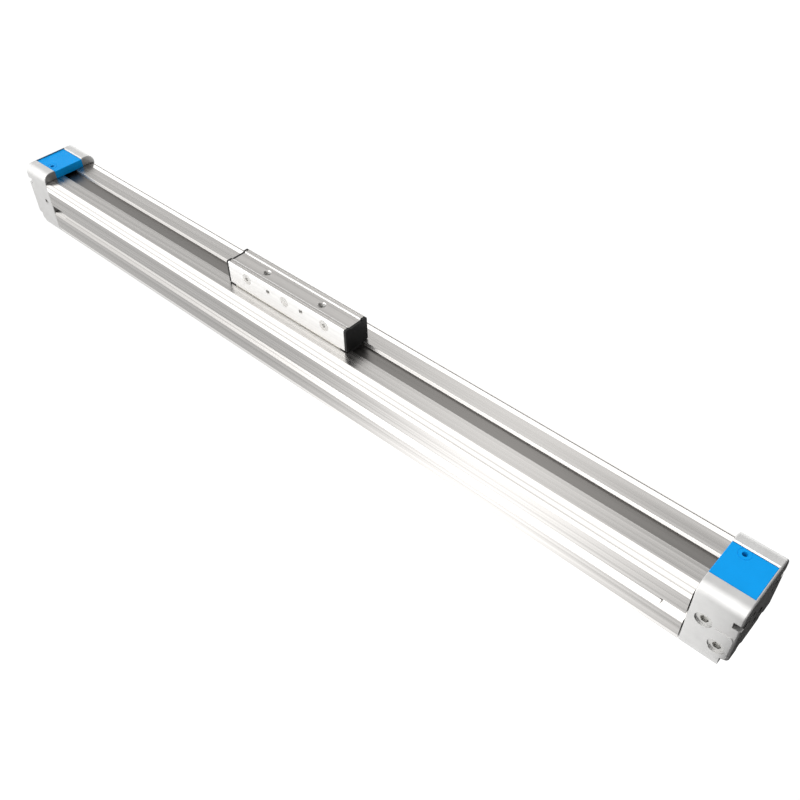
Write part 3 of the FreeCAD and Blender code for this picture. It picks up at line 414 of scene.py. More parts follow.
# %% [markdown]
# The lip of each sensor slot, the lower face of its neck and the floor of its pocket lean half
# way up. The walls of the band channel lean inwards where they are rounded at the top. Each
# takes part only in its own area of the section, and only where its faces point the right way.

# %% Slot lip and channel wall
lip_area = {"side": (20.0, 25.95), "height": (18.4, 28.4)}
wall_area = {"side": (6.0, 7.0), "height": (46.6, 50.1)}


def lit_lip(finish, y, z, outwards, upwards):
    # For the faces that look outwards or upwards.
    facing = (outwards.size() + upwards).above(level=0.5, gain=10.0)
    return leaning(finish, y.side(), 1.0), facing * inside_area(y, z, lip_area)


def channel_wall(finish, y, z, outwards):
    # For the faces that look towards the middle.
    facing = (outwards * y.side()).below(level=-0.5, gain=10.0)
    return leaning(finish, y.side() * -1.0, 0.8), facing * inside_area(y, z, wall_area)


print("lip heights in mm:", lip_area["height"])

# %% [markdown]
# The rolled forms come together here, with the light and shade painted into the metal: what
# they add to its brightness. The shoulders get a painted highlight, two soft grey lines of
# painted shade run along each of them, and the lips and the flat sides get painted shade. A
# material for each stripe would need the solid cut into strips. The place on the section tells
# them apart as well.

# %% Normal and painted light of the barrel
groove_shade_depth = 1.3
lip_shade = 0.2
side_shade = 0.38


def groove_shade_lines(y, z):
    # Painted shade in two lines: one runs along the top of the shoulder, the other along its
    # side.
    on_top = soft_line(y.size(), middle_mm=23.4, reach_mm=1.2)
    on_top = on_top * between(z, low_mm=48.4, high_mm=50.5)
    on_side = soft_line(z, middle_mm=47.6, reach_mm=1.4)
    on_side = on_side * between(y.size(), low_mm=25.2, high_mm=26.5)
    return on_top + on_side


def rolled_normal(finish, y, z):
    normal = true_normal(finish)
    outwards = axis_value(finish, normal, "Y")
    upwards = axis_value(finish, normal, "Z")
    roll, on_roll = rolled_shoulder(finish, y, z)
    lip, on_lip = lit_lip(finish, y, z, outwards, upwards)
    wall, on_wall = channel_wall(finish, y, z, outwards)
    for form, mask in ((roll, on_roll), (lip, on_lip), (wall, on_wall)):
        normal = mixed_vectors(finish, mask, normal, form)
    # Painted shade on the flat sides, the lips and the shoulder lines, and a painted highlight
    # on the shoulder.
    sides = outwards.size().above(level=0.8, gain=8.0) * (1 - on_roll)
    painted_shade = groove_shade_lines(y, z) * groove_shade_depth + on_lip * lip_shade + sides * side_shade
    return normal, on_roll - painted_shade, on_roll


print("shoulder lines darken by", groove_shade_depth)

# %% [markdown]
# ## The barrel's metal
# The barrel is the largest piece, and its streaks and forms carry the whole picture. The bevel
# at its foot gets a painted highlight, and the last half millimetre above the floor is a dark
# line of painted contact shadow. One dark and one light colour are enough: streaks, edges and
# the painted light and shade only decide between the two.

# %% Barrel aluminium
barrel_dark = (0.175, 0.169, 0.163)
barrel_light = (0.745, 0.725, 0.702)
barrel_roughness = 0.28
plain_factor = 0.33
factor_spread = 0.335
bevel_highlight_top = 5.9 * MM
contact_shadow_top = 0.4 * MM


def barrel_aluminium(name):
    finish = Finish(name)
    tone, fine = drawn_streaks(finish)
    place = place_on_part(finish)
    z = axis_value(finish, place, "Z")
    normal, painted_light_and_shade, on_roll = rolled_normal(finish, axis_value(finish, place, "Y"), z)
    edges = rubbed_edges(finish, radius_mm=0.35)
    # Painted highlight on the foot bevel, and a painted contact shadow just above the floor.
    bevel_highlight = z.below(bevel_highlight_top, gain=10 / MM)
    contact_shadow_line = z.below(contact_shadow_top, gain=10 / MM)
    bright = (tone + edges * 0.5).clipped() + bevel_highlight * 1.2 + painted_light_and_shade
    factor = (plain_factor + bright * factor_spread - contact_shadow_line * 2.0).clipped()
    # Pale streaks are rougher, while rubbed edges and shoulders are smoother.
    roughness = barrel_roughness + (tone - 0.5) * 0.12 - edges * 0.05 - on_roll * 0.1
    return finish.surface(
        Base_Color=mixed_colours(finish, factor, barrel_dark, barrel_light),
        Metallic=1.0,
        Roughness=roughness.clipped(),
        Normal=bump(finish, fine, drawn_line_mm, strength=0.5, base=normal),
    )


finishes["anodised_extrusion"] = barrel_aluminium("barrel_aluminium")
print("barrel aluminium from", barrel_dark, "to", barrel_light)

# %% [markdown]
# ## The carriage's bar
# The bar is drawn in the same metal. Its top is left as drawn and looks grey. Its sides are
# milled flat after drawing, which makes them satin, and they lie in the light, so their near
# white colour is painted highlight. They could be two materials on sorted faces, but the
# direction a face points in already tells them apart. The outer corners and the edges of the
# recess shine as fine white lines, by a turned normal and by a painted highlight in their
# colour.

# %% Carriage aluminium
drawn_dark = (0.365, 0.353, 0.340)
drawn_light = (0.555, 0.539, 0.521)
lit_satin_dark = (0.74, 0.735, 0.725)
lit_satin_light = (0.86, 0.855, 0.845)
bar_roughness = 0.30
corner_area = {"side": (10.0, 11.0), "height": (69.1, 70.5)}
recess_area = {"side": (5.7, 6.4), "height": (68.95, 70.5)}
corner_lean = (0.5, 0.85)
recess_lean = (-0.4, 0.9)


def carriage_aluminium(name):
    finish = Finish(name)
    tone, fine = drawn_streaks(finish)
    edges = rubbed_edges(finish, radius_mm=0.3)
    place = place_on_part(finish)
    y = axis_value(finish, place, "Y")
    z = axis_value(finish, place, "Z")
    normal = true_normal(finish)
    # Faces that look sideways: milled, and their near white colour is painted highlight.
    milled_and_lit_sides = axis_value(finish, normal, "Y").size().above(level=0.6, gain=4.0)
    bright = milled_and_lit_sides
    # The corner and recess lines get a turned normal and a painted highlight in their colour.
    for area, lean in ((corner_area, corner_lean), (recess_area, recess_lean)):
        inside = inside_area(y, z, area)
        line = leaning(finish, y.side() * lean[0], lean[1])
        normal = mixed_vectors(finish, inside, normal, line)
        bright = bright + inside
    bright = bright.clipped()
    drawn = mixed_colours(finish, (tone + edges * 0.5).clipped(), drawn_dark, drawn_light)
    lit_satin = mixed_colours(finish, tone.clipped(), lit_satin_dark, lit_satin_light)
    # Milling leaves a rougher face that scatters some of the light.
    return finish.surface(
        Base_Color=mixed_colours(finish, bright, drawn, lit_satin),
        Metallic=(1 - milled_and_lit_sides * 0.25).clipped(),
        Roughness=(bar_roughness + milled_and_lit_sides * 0.16 + (tone - 0.5) * 0.1).clipped(),
        Normal=bump(finish, fine, drawn_line_mm, strength=0.5, base=normal),
    )


carriage_finish = carriage_aluminium("carriage_aluminium")
print("satin sides up to", lit_satin_light)

# %% [markdown]
# ## Blasted cap metal
# The end caps are cast, machined and blasted, so they are duller and more even than the drawn
# barrel. A fine grain breaks up the highlights, and the edges shine where they are handled. The
# faces across the barrel get painted shade, as little light comes from the ends, and the walls
# of the holes get darker painted shade still. One even grey would make the cap look moulded, so
# its normal and the place of a point decide which of the three it is.

# %% Blasted aluminium
blasted_dark = (0.50, 0.496, 0.488)
blasted_light = (0.61, 0.606, 0.598)
end_face_shade_dark = (0.31, 0.307, 0.30)
end_face_shade_light = (0.40, 0.397, 0.39)
hole_shade_colour = (0.07, 0.069, 0.067)
hole_shade_area = {"side": (-1.0, 22.5), "height": (2.0, 54.0)}
blasted_roughness = 0.44


def blasted_aluminium(name):
    finish = Finish(name)
    fine = grain(finish, size_mm=0.35)
    broad = grain(finish, size_mm=9.0)
    tone = contrast(broad * 0.6 + fine * 0.4, amount=1.6)
    edges = rubbed_edges(finish, radius_mm=0.4)
    place = place_on_part(finish)
    y = axis_value(finish, place, "Y")
    z = axis_value(finish, place, "Z")
    # Painted shade: the faces across the barrel are darker, and the walls of the holes are near
    # black.
    end_face_shade = axis_value(finish, true_normal(finish), "X").size().above(level=0.7, gain=5.0)
    hole_shade = inside_area(y, z, hole_shade_area) * (1 - end_face_shade)
    bright = (tone + edges * 0.6).clipped()
    colour = mixed_colours(finish, bright, blasted_dark, blasted_light)
    painted_shade = mixed_colours(finish, tone.clipped(), end_face_shade_dark, end_face_shade_light)
    colour = mixed_colours(finish, end_face_shade, colour, painted_shade)
    # Blasting scatters a little of the light, the end faces don't. Rubbed edges are smoother.
    return finish.surface(
        Base_Color=mixed_colours(finish, hole_shade, colour, hole_shade_colour),
        Metallic=mixed_numbers(end_face_shade, 0.85, 1.0).clipped(),
        Roughness=(blasted_roughness + (fine - 0.5) * 0.2 - edges * 0.1).clipped(),
        Normal=bump(finish, fine, depth_mm=0.02, strength=0.6),
    )


finishes["cast_aluminium"] = blasted_aluminium("blasted_aluminium")
print("blasted aluminium up to", blasted_light)

# %% [markdown]
# ## Turned and milled aluminium
# Inner pieces such as the driver, the piston and the clamps are machined. The tool leaves fine
# parallel marks. Stretched gloss would hint at them from afar, but only streaks with a slight
# dent still hold from close by. The metal is brighter than the anodised pieces.

# %% Machined aluminium
machined_dark = (0.56, 0.56, 0.55)
machined_light = (0.78, 0.78, 0.77)


def machined_aluminium(name):
    finish = Finish(name)
    marks = streaks(finish, across_mm=0.18, along="Y", stretch=60.0, detail=1.0)
    edges = rubbed_edges(finish, radius_mm=0.2)
    bright = (marks + edges * 0.4).clipped()
    return finish.surface(
        Base_Color=mixed_colours(finish, bright, machined_dark, machined_light),
        Metallic=1.0,
        Roughness=mixed_numbers(marks, 0.26, 0.42).clipped(),
        Normal=bump(finish, marks, depth_mm=0.01, strength=0.6),
    )


finishes["machined_aluminium"] = machined_aluminium("machined_aluminium")
print("machined aluminium up to", machined_light)

# %% [markdown]
# ## The cover band
# The band is a thin strip of stainless steel, rolled and then polished by the wipers that slide
# over it. Its steel is darker than the aluminium beside it, and its streaks are longer and
# finer. The barrel's finish in a darker colour would be quick, but its broad bands would run on
# across the strip and tie the two pieces together. So the band gets streaks of its own.

# %% Rolled steel band
steel_dark = (0.165, 0.158, 0.150)
steel_light = (0.240, 0.230, 0.220)
steel_roughness = 0.30


def rolled_steel(name):
    finish = Finish(name)
    fine = streaks(finish, across_mm=0.12, stretch=2500.0, detail=2.0)
    broad = streaks(finish, across_mm=3.0, stretch=60.0)
    tone = contrast(fine * 0.5 + broad * 0.5, amount=1.6)
    return finish.surface(
        Base_Color=mixed_colours(finish, tone.clipped(), steel_dark, steel_light),
        Metallic=1.0,
        Roughness=(steel_roughness + (tone - 0.5) * 0.15).clipped(),
        Normal=bump(finish, fine, depth_mm=0.006, strength=0.5),
    )


finishes["steel_band"] = rolled_steel("rolled_steel")
print("rolled steel up to", steel_light)

# %% [markdown]
# ## Zinc plated screws
# Screws and plugs are steel with a bright zinc coat. It is glossy but not even: small cloudy
# patches are duller, and the edges of the hexagon sockets are worn bright. Chrome with a single
# roughness would look like a toy. The screws in the carriage's side lie in the light, so they
# take the same recipe with a brighter pair of colours: a lit copy of the zinc with the light
# painted in.

# %% Zinc plated steel
def zinc_steel(name, dark, light):
    finish = Finish(name)
    clouds = grain(finish, size_mm=1.2, detail=4.0)
    edges = rubbed_edges(finish, radius_mm=0.15)
    return finish.surface(
        Base_Color=mixed_colours(finish, (clouds + edges * 0.5).clipped(), dark, light),
        Metallic=1.0,
        Roughness=mixed_numbers(clouds, 0.16, 0.38).clipped(),
        Normal=bump(finish, clouds, depth_mm=0.01, strength=0.5),
    )


finishes["zinc_steel"] = zinc_steel(
    "zinc_steel", dark=(0.34, 0.335, 0.32), light=(0.66, 0.655, 0.64)
)
# Lit copy of the zinc: its brighter colours are painted highlight.
painted_lit_zinc_finish = zinc_steel(
    "painted_lit_zinc", dark=(0.58, 0.575, 0.56), light=(0.84, 0.835, 0.82)
)
print("zinc plated steel ready in two tones")

# %% [markdown]
# The two small screws deep inside the covers are near black as painted shade, so their holes
# look dark. The holes' walls could carry that painted shade instead, but the screw's head is
# what one sees there.

# %% Near black steel for painted shade
shade_black_dark = (0.010, 0.010, 0.011)
shade_black_light = (0.030, 0.029, 0.028)


def shade_black_steel(name):
    finish = Finish(name)
    clouds = grain(finish, size_mm=0.8, detail=4.0)
    return finish.surface(
        Base_Color=mixed_colours(finish, clouds, shade_black_dark, shade_black_light),
        Metallic=0.6,
        Roughness=mixed_numbers(clouds, 0.35, 0.60).clipped(),
        Normal=bump(finish, clouds, depth_mm=0.01, strength=0.5),
    )


shade_black_finish = shade_black_steel("shade_black_steel")
print("blackened steel up to", shade_black_light)

# %% [markdown]
# ## Moulded plastics
# The covers on both caps are moulded in saturated blue, the carriage's end plates in black, and
# the slide strips and guides in natural white. All have the fine grain of a spark-eroded mould
# and faint clouds where the melt flowed. One recipe with different colours serves all three.
# Their sheen comes from the shader's own specular level, which is the same all over a piece, so
# only colour, roughness and bump vary.

# %% Moulded plastics
def moulded_plastic(name, dark, light, roughness, gloss):
    finish = Finish(name)
    fine = grain(finish, size_mm=0.3, detail=3.0)
    flow = grain(finish, size_mm=12.0)
    edges = rubbed_edges(finish, radius_mm=0.3)
    tone = contrast(flow * 0.7 + fine * 0.3, amount=1.5)
    return finish.surface(
        Base_Color=mixed_colours(finish, (tone + edges * 0.35).clipped(), dark, light),
        Metallic=0.0,
        Specular_IOR_Level=gloss,
        Roughness=(roughness + (fine - 0.5) * 0.2).clipped(),
        Normal=bump(finish, fine, depth_mm=0.012, strength=0.7),
    )


finishes["blue_plastic"] = moulded_plastic(
    "blue_plastic",
    dark=(0.0015, 0.25, 0.62),
    light=(0.0025, 0.285, 0.71),
    roughness=0.42,
    gloss=0.06,
)
finishes["black_plastic"] = moulded_plastic(
    "black_plastic",
    dark=(0.003, 0.003, 0.0032),
    light=(0.008, 0.008, 0.008),
    roughness=0.5,
    gloss=0.25,
)
finishes["guide_plastic"] = moulded_plastic(
    "guide_plastic",
    dark=(0.66, 0.64, 0.58),
    light=(0.80, 0.78, 0.72),
    roughness=0.5,
    gloss=0.5,
)
print("plastics ready: blue, black and natural white")

# %% [markdown]
# ## Rubber and sealing parts
# Seals, wipers and gaskets are matt black rubber with a little bloom. The sealing band is a
# smooth dark plastic, and the piston's magnets have a dull grey bonded surface. All three are
# dark and matt, so they share a recipe too: soft clouds for the colour, a fine grain as bump.

# %% Rubber, band plastic and magnet
def matt_dark(name, dark, light, roughness, grain_mm):
    finish = Finish(name)
    bloom = grain(finish, size_mm=6.0, detail=4.0)
    fine = grain(finish, size_mm=grain_mm)
    return finish.surface(
        Base_Color=mixed_colours(finish, bloom, dark, light),
        Metallic=0.0,
        Roughness=(roughness + (bloom - 0.5) * 0.25).clipped(),
        Normal=bump(finish, fine, depth_mm=0.015, strength=0.6),
    )


finishes["seal_rubber"] = matt_dark(
    "seal_rubber",
    dark=(0.014, 0.014, 0.014),
    light=(0.035, 0.035, 0.035),
    roughness=0.72,
    grain_mm=0.25,
)
finishes["seal_band"] = matt_dark(
    "seal_band",
    dark=(0.055, 0.055, 0.057),
    light=(0.085, 0.085, 0.088),
    roughness=0.40,
    grain_mm=0.5,
)
finishes["magnet"] = matt_dark(
    "magnet",
    dark=(0.060, 0.060, 0.066),
    light=(0.105, 0.105, 0.112),
    roughness=0.50,
    grain_mm=0.2,
)
print("finishes:", len(finishes))

# %% [markdown]
# ## Dressing the solids
# Every node of the model names the finish it takes in its record. Each could be dressed by a
# line of its own, but a loop can't forget one. The few nodes that need a finish of their own
# are listed first.

# %% Dress the nodes
own_finishes = {
    "carriage": carriage_finish,
    # Near black cover screws: painted shade in the cover holes.
    "cover_screws": shade_black_finish,
    # The lit zinc copy paints a highlight into the carriage's screws and dowels.
    "fixing_screws": painted_lit_zinc_finish,
    "centring_dowels": painted_lit_zinc_finish,
    "driver_base_screws": painted_lit_zinc_finish,
    "carriage_screws": painted_lit_zinc_finish,
}


def dress(piece, slot):
    piece.data.materials.clear()
    piece.data.materials.append(own_finishes.get(piece.name, finishes[slot]))


for part in frame["record"]["subparts"]:
    dress(frame["nodes"][part["node"]], part["material_slot"])

# %% [markdown]
# ## Making pieces
# The next steps add pieces of their own. A curve with a bevel could draw a strip, but its
# edges would be round. Rows of points that are joined up give any section, so one helper joins
# the rows, one makes the piece, and one gives it a finish and the body that it moves with.

# %% Helpers for new pieces
def rows_joined(rows, count):
    # Faces between neighbouring rows of count points each. Every row closes on itself.
    faces = []
    for row in range(rows):
        for column in range(count):
            following = (column + 1) % count
            first = row * count
            second = first + count
            faces.append(
                (first + following, first + column, second + column, second + following)
            )
    return faces


def closed_bar(rows, count):
    # The rows joined up, with a face on each end.
    last = rows * count
    ends = [tuple(range(count)), tuple(reversed(range(last, last + count)))]
    return rows_joined(rows, count) + ends


def new_piece(name, vertices, faces):
    mesh = bpy.data.meshes.new(name)
    mesh.from_pydata(vertices, [], faces)
    mesh.update()
    piece = bpy.data.objects.new(name, mesh)
    bpy.context.scene.collection.objects.link(piece)
    return piece


def add_piece(piece, slot, body):
    dress(piece, slot)
    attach(piece, body)


print("helpers for pieces ready")

# %% [markdown]
# ## The cover band as two pieces
# The real band is one strip, clamped at both ends, that lifts over the driver inside the
# carriage. As the carriage travels, the lifted part travels with it like a wave. A stiff copy
# can't do that. So here the band is a straight strip that stays with the body, and an arch that
# stays inside the carriage. Wherever the carriage stands, the outside looks right. The strip is
# slightly crowned, as a rolled band is, so that it catches the light unevenly.

# %% Straight part of the cover band
band_width = 12.2 * MM
band_thickness = 0.6 * MM
band_crown = 0.05 * MM
band_low, band_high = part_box("cover_band")


def crowned_section(width, thickness, crown, steps=8):
    # Corner points across the strip, from one edge over the top and back under it.
    points = []
    for step in range(steps + 1):
        share = step / steps
        side = (share - 0.5) * width
        rise = crown * (1 - (2 * share - 1) ** 2)
        points.append((side, thickness - crown + rise))
    for step in range(steps + 1):
        points.append(((0.5 - step / steps) * width, 0.0))
    return points


def swept_strip(name, path, section):
    # The section is set across every point (x, z) of the path and joined up.
    vertices = [(x, side, z + rise) for x, z in path for side, rise in section]
    return new_piece(name, vertices, closed_bar(len(path) - 1, len(section)))


section = crowned_section(band_width, band_thickness, band_crown)
strip_path = [(band_low.x, band_low.z), (band_high.x, band_low.z)]
band_strip = swept_strip("cover_band_strip", strip_path, section)
add_piece(band_strip, "steel_band", "body")
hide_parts("cover_band")
print("strip from", round(band_low.x, 4), "to", round(band_high.x, 4))

# %% [markdown]
# The sealing band closes the slot from inside the barrel. It does the same the other way up: it
# dips under the driver. It is flat plastic, so its section has no crown.

# %% Straight part of the sealing band
seal_width = 8.0 * MM
seal_thickness = 0.8 * MM
seal_low, seal_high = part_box("sealing_band")
seal_base = seal_high.z - seal_thickness
seal_section = crowned_section(seal_width, seal_thickness, 0.0, steps=1)
seal_path = [(seal_low.x, seal_base), (seal_high.x, seal_base)]
seal_strip = swept_strip("sealing_band_strip", seal_path, seal_section)
add_piece(seal_strip, "seal_band", "body")
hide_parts("sealing_band")
print("sealing strip at", round(seal_base / MM, 2), "mm")

# %% [markdown]
# The arch follows the same line as the solid one: level, a smooth rise, level over the driver,
# and down again. A straight ramp would leave kinks that no steel band has. A cosine gives a
# smooth rise with level ends. The dip of the sealing band is the same line with a rise below
# zero.

# %% Line of an arch
driver_low, driver_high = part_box("driver")
piston_low, piston_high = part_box("piston_body")
carriage_low, carriage_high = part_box("carriage")
carriage_middle = (carriage_low.x + carriage_high.x) / 2
arch_flat = (driver_high.x - driver_low.x) / 2 + 1.0 * MM
arch_steps = 24
arch_share = 0.9


def arch_path(base, rise, reach):
    # Points (x, z) over the middle nine tenths of the arch's reach.
    points = []
    for step in range(-arch_steps, arch_steps + 1):
        distance = step / arch_steps * reach * arch_share
        share = (reach - abs(distance)) / (reach - arch_flat)
        share = min(max(share, 0.0), 1.0)
        height = rise * (1 - math.cos(math.pi * share)) / 2
        points.append((carriage_middle + distance, base + height))
    return points


print("arch is level over", round(2 * arch_flat / MM, 1), "mm")

# %% [markdown]
# Both arches ride on the carriage. Their rise and their dip are measured on the solids, so they
# follow when the model changes.

# %% The arches inside the carriage
cover_reach = 58.0 * MM
cover_rise = band_high.z - band_low.z - band_thickness
cover_path = arch_path(band_low.z, cover_rise, cover_reach)
band_arch = swept_strip("cover_band_arch", cover_path, section)
add_piece(band_arch, "steel_band", "carriage")
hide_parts("cover_band")
seal_drop = seal_base - seal_low.z
seal_reach = (piston_high.x - piston_low.x) / 2 - 1.0 * MM
dip_path = arch_path(seal_base, -seal_drop, seal_reach)
seal_arch = swept_strip("sealing_band_arch", dip_path, seal_section)
add_piece(seal_arch, "seal_band", "carriage")
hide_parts("sealing_band")
print("rise and dip in mm:", round(cover_rise / MM, 2), round(seal_drop / MM, 2))

# %% [markdown]
# ## Threads
# A threaded hole shows its thread as a spiral ridge. A bump pattern could fake it, but it would
# stay flat against the light at the hole's edge. So each open hole gets a real ridge: a small
# triangle swept along a helix on the wall. It is far too fine for the solids.

# %% Thread ridge
thread_steps_per_turn = 28
ridge_depth = 0.45
ridge_half_base = 0.42


def thread_ridge(name, mouth, inward, radius, pitch, length, body):
    # Depth and half base of the triangle are shares of the pitch.
    count = int(length / pitch * thread_steps_per_turn)
    inward = Vector(inward).normalized()
    first = inward.orthogonal().normalized()
    second = inward.cross(first)
    triangle = ((ridge_half_base, 0.0), (0.0, ridge_depth), (-ridge_half_base, 0.0))
    vertices = []
    for step in range(count + 1):
        angle = 2 * math.pi * step / thread_steps_per_turn
        out = first * math.cos(angle) + second * math.sin(angle)
        centre = Vector(mouth) + inward * (step / count * length)
        for along, depth in triangle:
            place = centre + inward * (along * pitch) + out * (radius - depth * pitch)
            vertices.append(place)
    ridge = new_piece(name, vertices, closed_bar(count, len(triangle)))
    for polygon in ridge.data.polygons:
        polygon.use_smooth = True
    add_piece(ridge, "machined_aluminium", body)
    return ridge


print("ridge has", thread_steps_per_turn, "steps in a turn")

# %% [markdown]
# The supply port in the end face of each cap has a pipe thread. Its place, radius and length
# are in the record's mounts. Numbers typed in here would be wrong after the next change.

# %% Threads of the ports
mounts = {mount["name"]: mount for mount in frame["record"]["mounts"]}
port_pitch = 0.907 * MM
port_thread_start = 1.7 * MM
ridges = []
for end in ("near", "far"):
    port = mounts["supply_port_" + end]
    outward = Vector(port["axis"])
    radius = port["dims"]["r_mm"] * MM
    length = port["dims"]["length_mm"] * MM - port_pitch
    cap_low, cap_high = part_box("end_cap_" + end)
    face = cap_high.x if end == "near" else cap_low.x
    mouth = Vector((face, port["pos_m"][1], port["pos_m"][2])) - outward * port_thread_start
    ridges.append(
        thread_ridge("port_thread_" + end, mouth, -outward, radius, port_pitch, length, "body")
    )
print("thread ridges:", len(ridges))

# %% [markdown]
# The other open holes come in patterns: two in each end face, four in the base and two on the
# carriage. Typed-in places would be quick, but the record already gives the middle of each
# pattern and its spacings, so the places are worked out from these. A pattern of two has no
# second spacing, so each of its places comes up twice and is kept once.

# %% Places of a hole pattern
def pattern_places(mount):
    centre = Vector(mount["pos_m"])
    axis = Vector(mount["axis"])
    across = [AXES[name] for name in "XYZ" if abs(AXES[name].dot(axis)) < 0.5]
    dims = mount["dims"]
    half_x = dims.get("spacing_x_mm", 0.0) / 2 * MM
    half_y = dims.get("spacing_y_mm", 0.0) / 2 * MM
    places = {}
    for side_x in (-1, 1):
        for side_y in (-1, 1):
            place = centre + across[0] * half_x * side_x + across[1] * half_y * side_y
            places[tuple(round(v, 6) for v in place)] = place
    return list(places.values())


print("holes on the carriage:", len(pattern_places(mounts["carriage_top"])))

# %% [markdown]
# Each pattern has its own thread length and rides on the body that it is cut into. The ridge
# starts a little below the mouth, where the countersink of a real hole ends.

# %% Threads of the screw holes
screw_pitch = 0.8 * MM
hole_thread_start = 0.6 * MM
hole_threads = {
    "end_threads_near": (7.0 * MM, "body"),
    "end_threads_far": (7.0 * MM, "body"),
    "base_threads": (8.0 * MM, "body"),
    "carriage_top": (2.8 * MM, "carriage"),
}
for mount_name, (length, body) in hole_threads.items():
    mount = mounts[mount_name]
    outward = Vector(mount["axis"])
    radius = mount["dims"]["hole_r_mm"] * MM
    for number, place in enumerate(pattern_places(mount)):
        name = mount_name + "_ridge_" + str(number)
        mouth = place - outward * hole_thread_start
        ridges.append(thread_ridge(name, mouth, -outward, radius, screw_pitch, length, body))
print("thread ridges:", len(ridges))

# %% [markdown]
# ## The studio
# The cylinder lies on pure white. White paper under lamps would show shadows and turn grey
# further away. So the floor is a light table: it glows by itself and takes no shadow. First
# comes the flat card that it is made of.

# %% Floor
floor_half = 6.0


def flat_card(name, low, high, level):
    corners = [(low[0], low[1]), (high[0], low[1]), (high[0], high[1]), (low[0], high[1])]
    card = new_piece(name, [(x, y, 0) for x, y in corners], [(0, 1, 2, 3)])
    card.location.z = level
    return card


floor = flat_card("floor", (-floor_half, -floor_half), (floor_half, floor_half), cad_low.z)
print("floor at", round(floor.location.z, 4))

# %% [markdown]
# The light table is brighter in a round pool beside the near half of the barrel, and brighter
# again away from the barrel. The picture shows only white there, but the barrel's side mirrors
# the pool, so that stretch of the side comes out almost white too. A lamp close to the barrel
# would do the same but would leave a hard edge on the metal.

# %% Light table
pool_place = Vector((0.165, -0.055, 0.0))
pool_radius = 0.115
pool_strength = 2.7
floor_white = 1.03
away_start = 0.13
away_share = 0.55


def either(first, second):
    # Adds two lights that run from 0 to 1 without passing 1.
    return first + second - first * second


def light_table(name):
    # A bell-shaped pool: it falls off evenly in every direction.
    finish = Finish(name)
    offset = vector_sum(finish, "SUBTRACT", place_on_part(finish), pool_place)
    distance = finish.node(
        "ShaderNodeVectorMath", {"operation": "LENGTH"}, {0: offset}, output="Value"
    )
    pool = (distance * distance * (-1 / pool_radius ** 2)).exponential()
    y = axis_value(finish, place_on_part(finish), "Y")
    pool = either(pool, y.size().above(away_start, gain=10.0) * away_share)
    edge = floor_white / pool_strength
    return finish.surface(
        Base_Color=(0.0, 0.0, 0.0, 1.0),
        Roughness=1.0,
        Specular_IOR_Level=0.0,
        Emission_Color=mixed_colours(finish, pool, (edge, edge, edge), (1.0, 1.0, 1.0)),
        Emission_Strength=pool_strength,
    )


floor.data.materials.append(light_table("light_table"))
print("pool is", pool_strength, "times as bright as white")

# %% [markdown]
# The near end face would mirror the white ground. Darker metal would look dark from every side,
# so a dark card lies on the floor in front of that end instead, as a photographer would put it.
# The camera doesn't see the card itself.

# %% Dark card
card_start = cad_high.x - 4.5 * MM
card_end = 2.9
card_half = 2.5
card_colour = (0.012, 0.012, 0.012, 1.0)
dark_card = flat_card(
    "dark_card", (card_start, -card_half), (card_end, card_half), cad_low.z + 1 * MM
)
dark_card.visible_camera = False
dark_card.visible_shadow = False
dark_card.data.materials.append(
    Finish("dark_card").surface(Base_Color=card_colour, Roughness=1.0)
)
print("card from", round(card_start, 3))

# %% [markdown]
# Above the floor, a white dome closes the picture in every direction. A white sky would do for
# the picture, but metal mirrors it and would turn pale all round. Only the camera sees the
# dome: mirrors and shadows pass through it, so the sky behind can be shaped for the metal.

# %% White dome
dome_radius = 4.5
dome_rows = 12
dome_columns = 32


def white_dome(name):
    vertices = []
    for row in range(dome_rows + 1):
        rise = math.pi / 2 * (1 - row / dome_rows)
        ring = dome_radius * math.cos(rise)
        for column in range(dome_columns):
            turn = 2 * math.pi * column / dome_columns
            height = dome_radius * math.sin(rise)
            vertices.append((ring * math.cos(turn), ring * math.sin(turn), height))
    dome = new_piece(name, vertices, rows_joined(dome_rows, dome_columns))
    return dome


dome = white_dome("white_dome")
dome.location.z = cad_low.z - 2 * MM
dome.visible_diffuse = False
dome.visible_glossy = False
dome.visible_transmission = False
dome.visible_shadow = False
print("dome faces:", len(dome.data.polygons))

# %% [markdown]
# The dome's paint glows like the floor, so that no lamp has to reach it. It is a touch brighter
# near the floor, where the two meet.

# %% Dome paint
dome_white = 1.06
dome_top = (0.96, 0.96, 0.96)
dome_foot = (1.0, 1.0, 1.0)


def dome_paint(name):
    finish = Finish(name)
    low = axis_value(finish, place_on_part(finish), "Z").below(level=5.0, gain=0.2)
    return finish.surface(
        Base_Color=(0.0, 0.0, 0.0, 1.0),
        Roughness=1.0,
        Specular_IOR_Level=0.0,
        Emission_Color=mixed_colours(finish, low, dome_top, dome_foot),
        Emission_Strength=dome_white,
    )


dome.data.materials.append(dome_paint("dome_paint"))
print("dome glows at", dome_white)

# %% [markdown]
# One softbox on the side of the ports puts small bright highlights on screws and rounded edges.
# A point lamp would make them hard dots, so a wide area light takes its place.

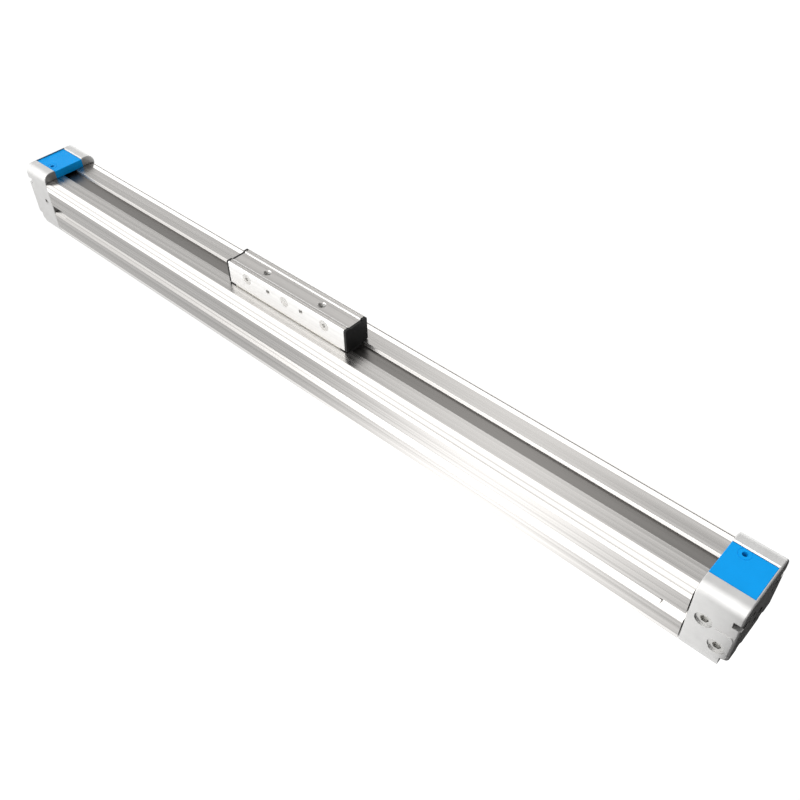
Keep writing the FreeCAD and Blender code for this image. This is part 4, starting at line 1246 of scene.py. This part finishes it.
# %% Softbox
softbox_data = bpy.data.lights.new("softbox", "AREA")
softbox_data.shape = "RECTANGLE"
softbox_data.size = 1.2
softbox_data.size_y = 0.6
softbox_data.energy = 7.0
softbox = bpy.data.objects.new("softbox", softbox_data)
bpy.context.scene.collection.objects.link(softbox)
softbox.location = (-0.45, -1.35, 1.15)
softbox.rotation_mode = "QUATERNION"
softbox.rotation_quaternion = (-softbox.location).to_track_quat("-Z", "Y")
print("softbox power in W:", softbox_data.energy)

# %% [markdown]
# The rest of the light comes from the surroundings, and metal shows little else. Many cards
# could be hung around the part, but a sky with a few soft shapes in it is easier to tune. The
# part that the flat top mirrors is an even pale grey. The sky is brighter low down and on the
# side of the ports, for the rounded shoulders. Low down towards the near end it is dark, so
# that every face that is turned there comes out dark. A soft glow brightens the top a little
# beside the pool.

# %% Surroundings
sky_level = 0.98
sky_glow = 1.2
sky_dark = 0.86
glow_direction = Vector((-0.37, 0.563, 0.739)).normalized()


class Sky(Finish):
    """The surroundings, with the same methods as a finish."""

    def __init__(self, name):
        world = bpy.data.worlds.new(name)
        world.use_nodes = True
        bpy.context.scene.world = world
        self.tree = world.node_tree
        self.shader = self.tree.nodes["Background"]


sky = Sky("studio")
towards = sky.node("ShaderNodeTexCoord", {}, {}, output="Generated")
x, y, z = [axis_value(sky, towards, axis) for axis in "XYZ"]
# Each shape is 1 in its own part of the sky and fades out softly around it.
port_side = y.below(level=1 / 6, gain=3.0)
low_down = z.below(level=0.375, gain=4.0)
dark_end = x.above(level=0.20, gain=6.0) * z.below(level=0.90, gain=5.0)
glow = vector_sum(sky, "DOT_PRODUCT", towards, glow_direction, output="Value")
glow = glow.above(level=0.985, gain=66.0)
light = sky_level + either(port_side, low_down) + glow * sky_glow
sky.plug(sky.shader.inputs["Color"], light * (1 - dark_end * sky_dark))
sky.plug(sky.shader.inputs["Strength"], 1.0)
bpy.context.scene.view_settings.view_transform = "Standard"
print("surroundings ready, dark end at", round(1 - sky_dark, 2))
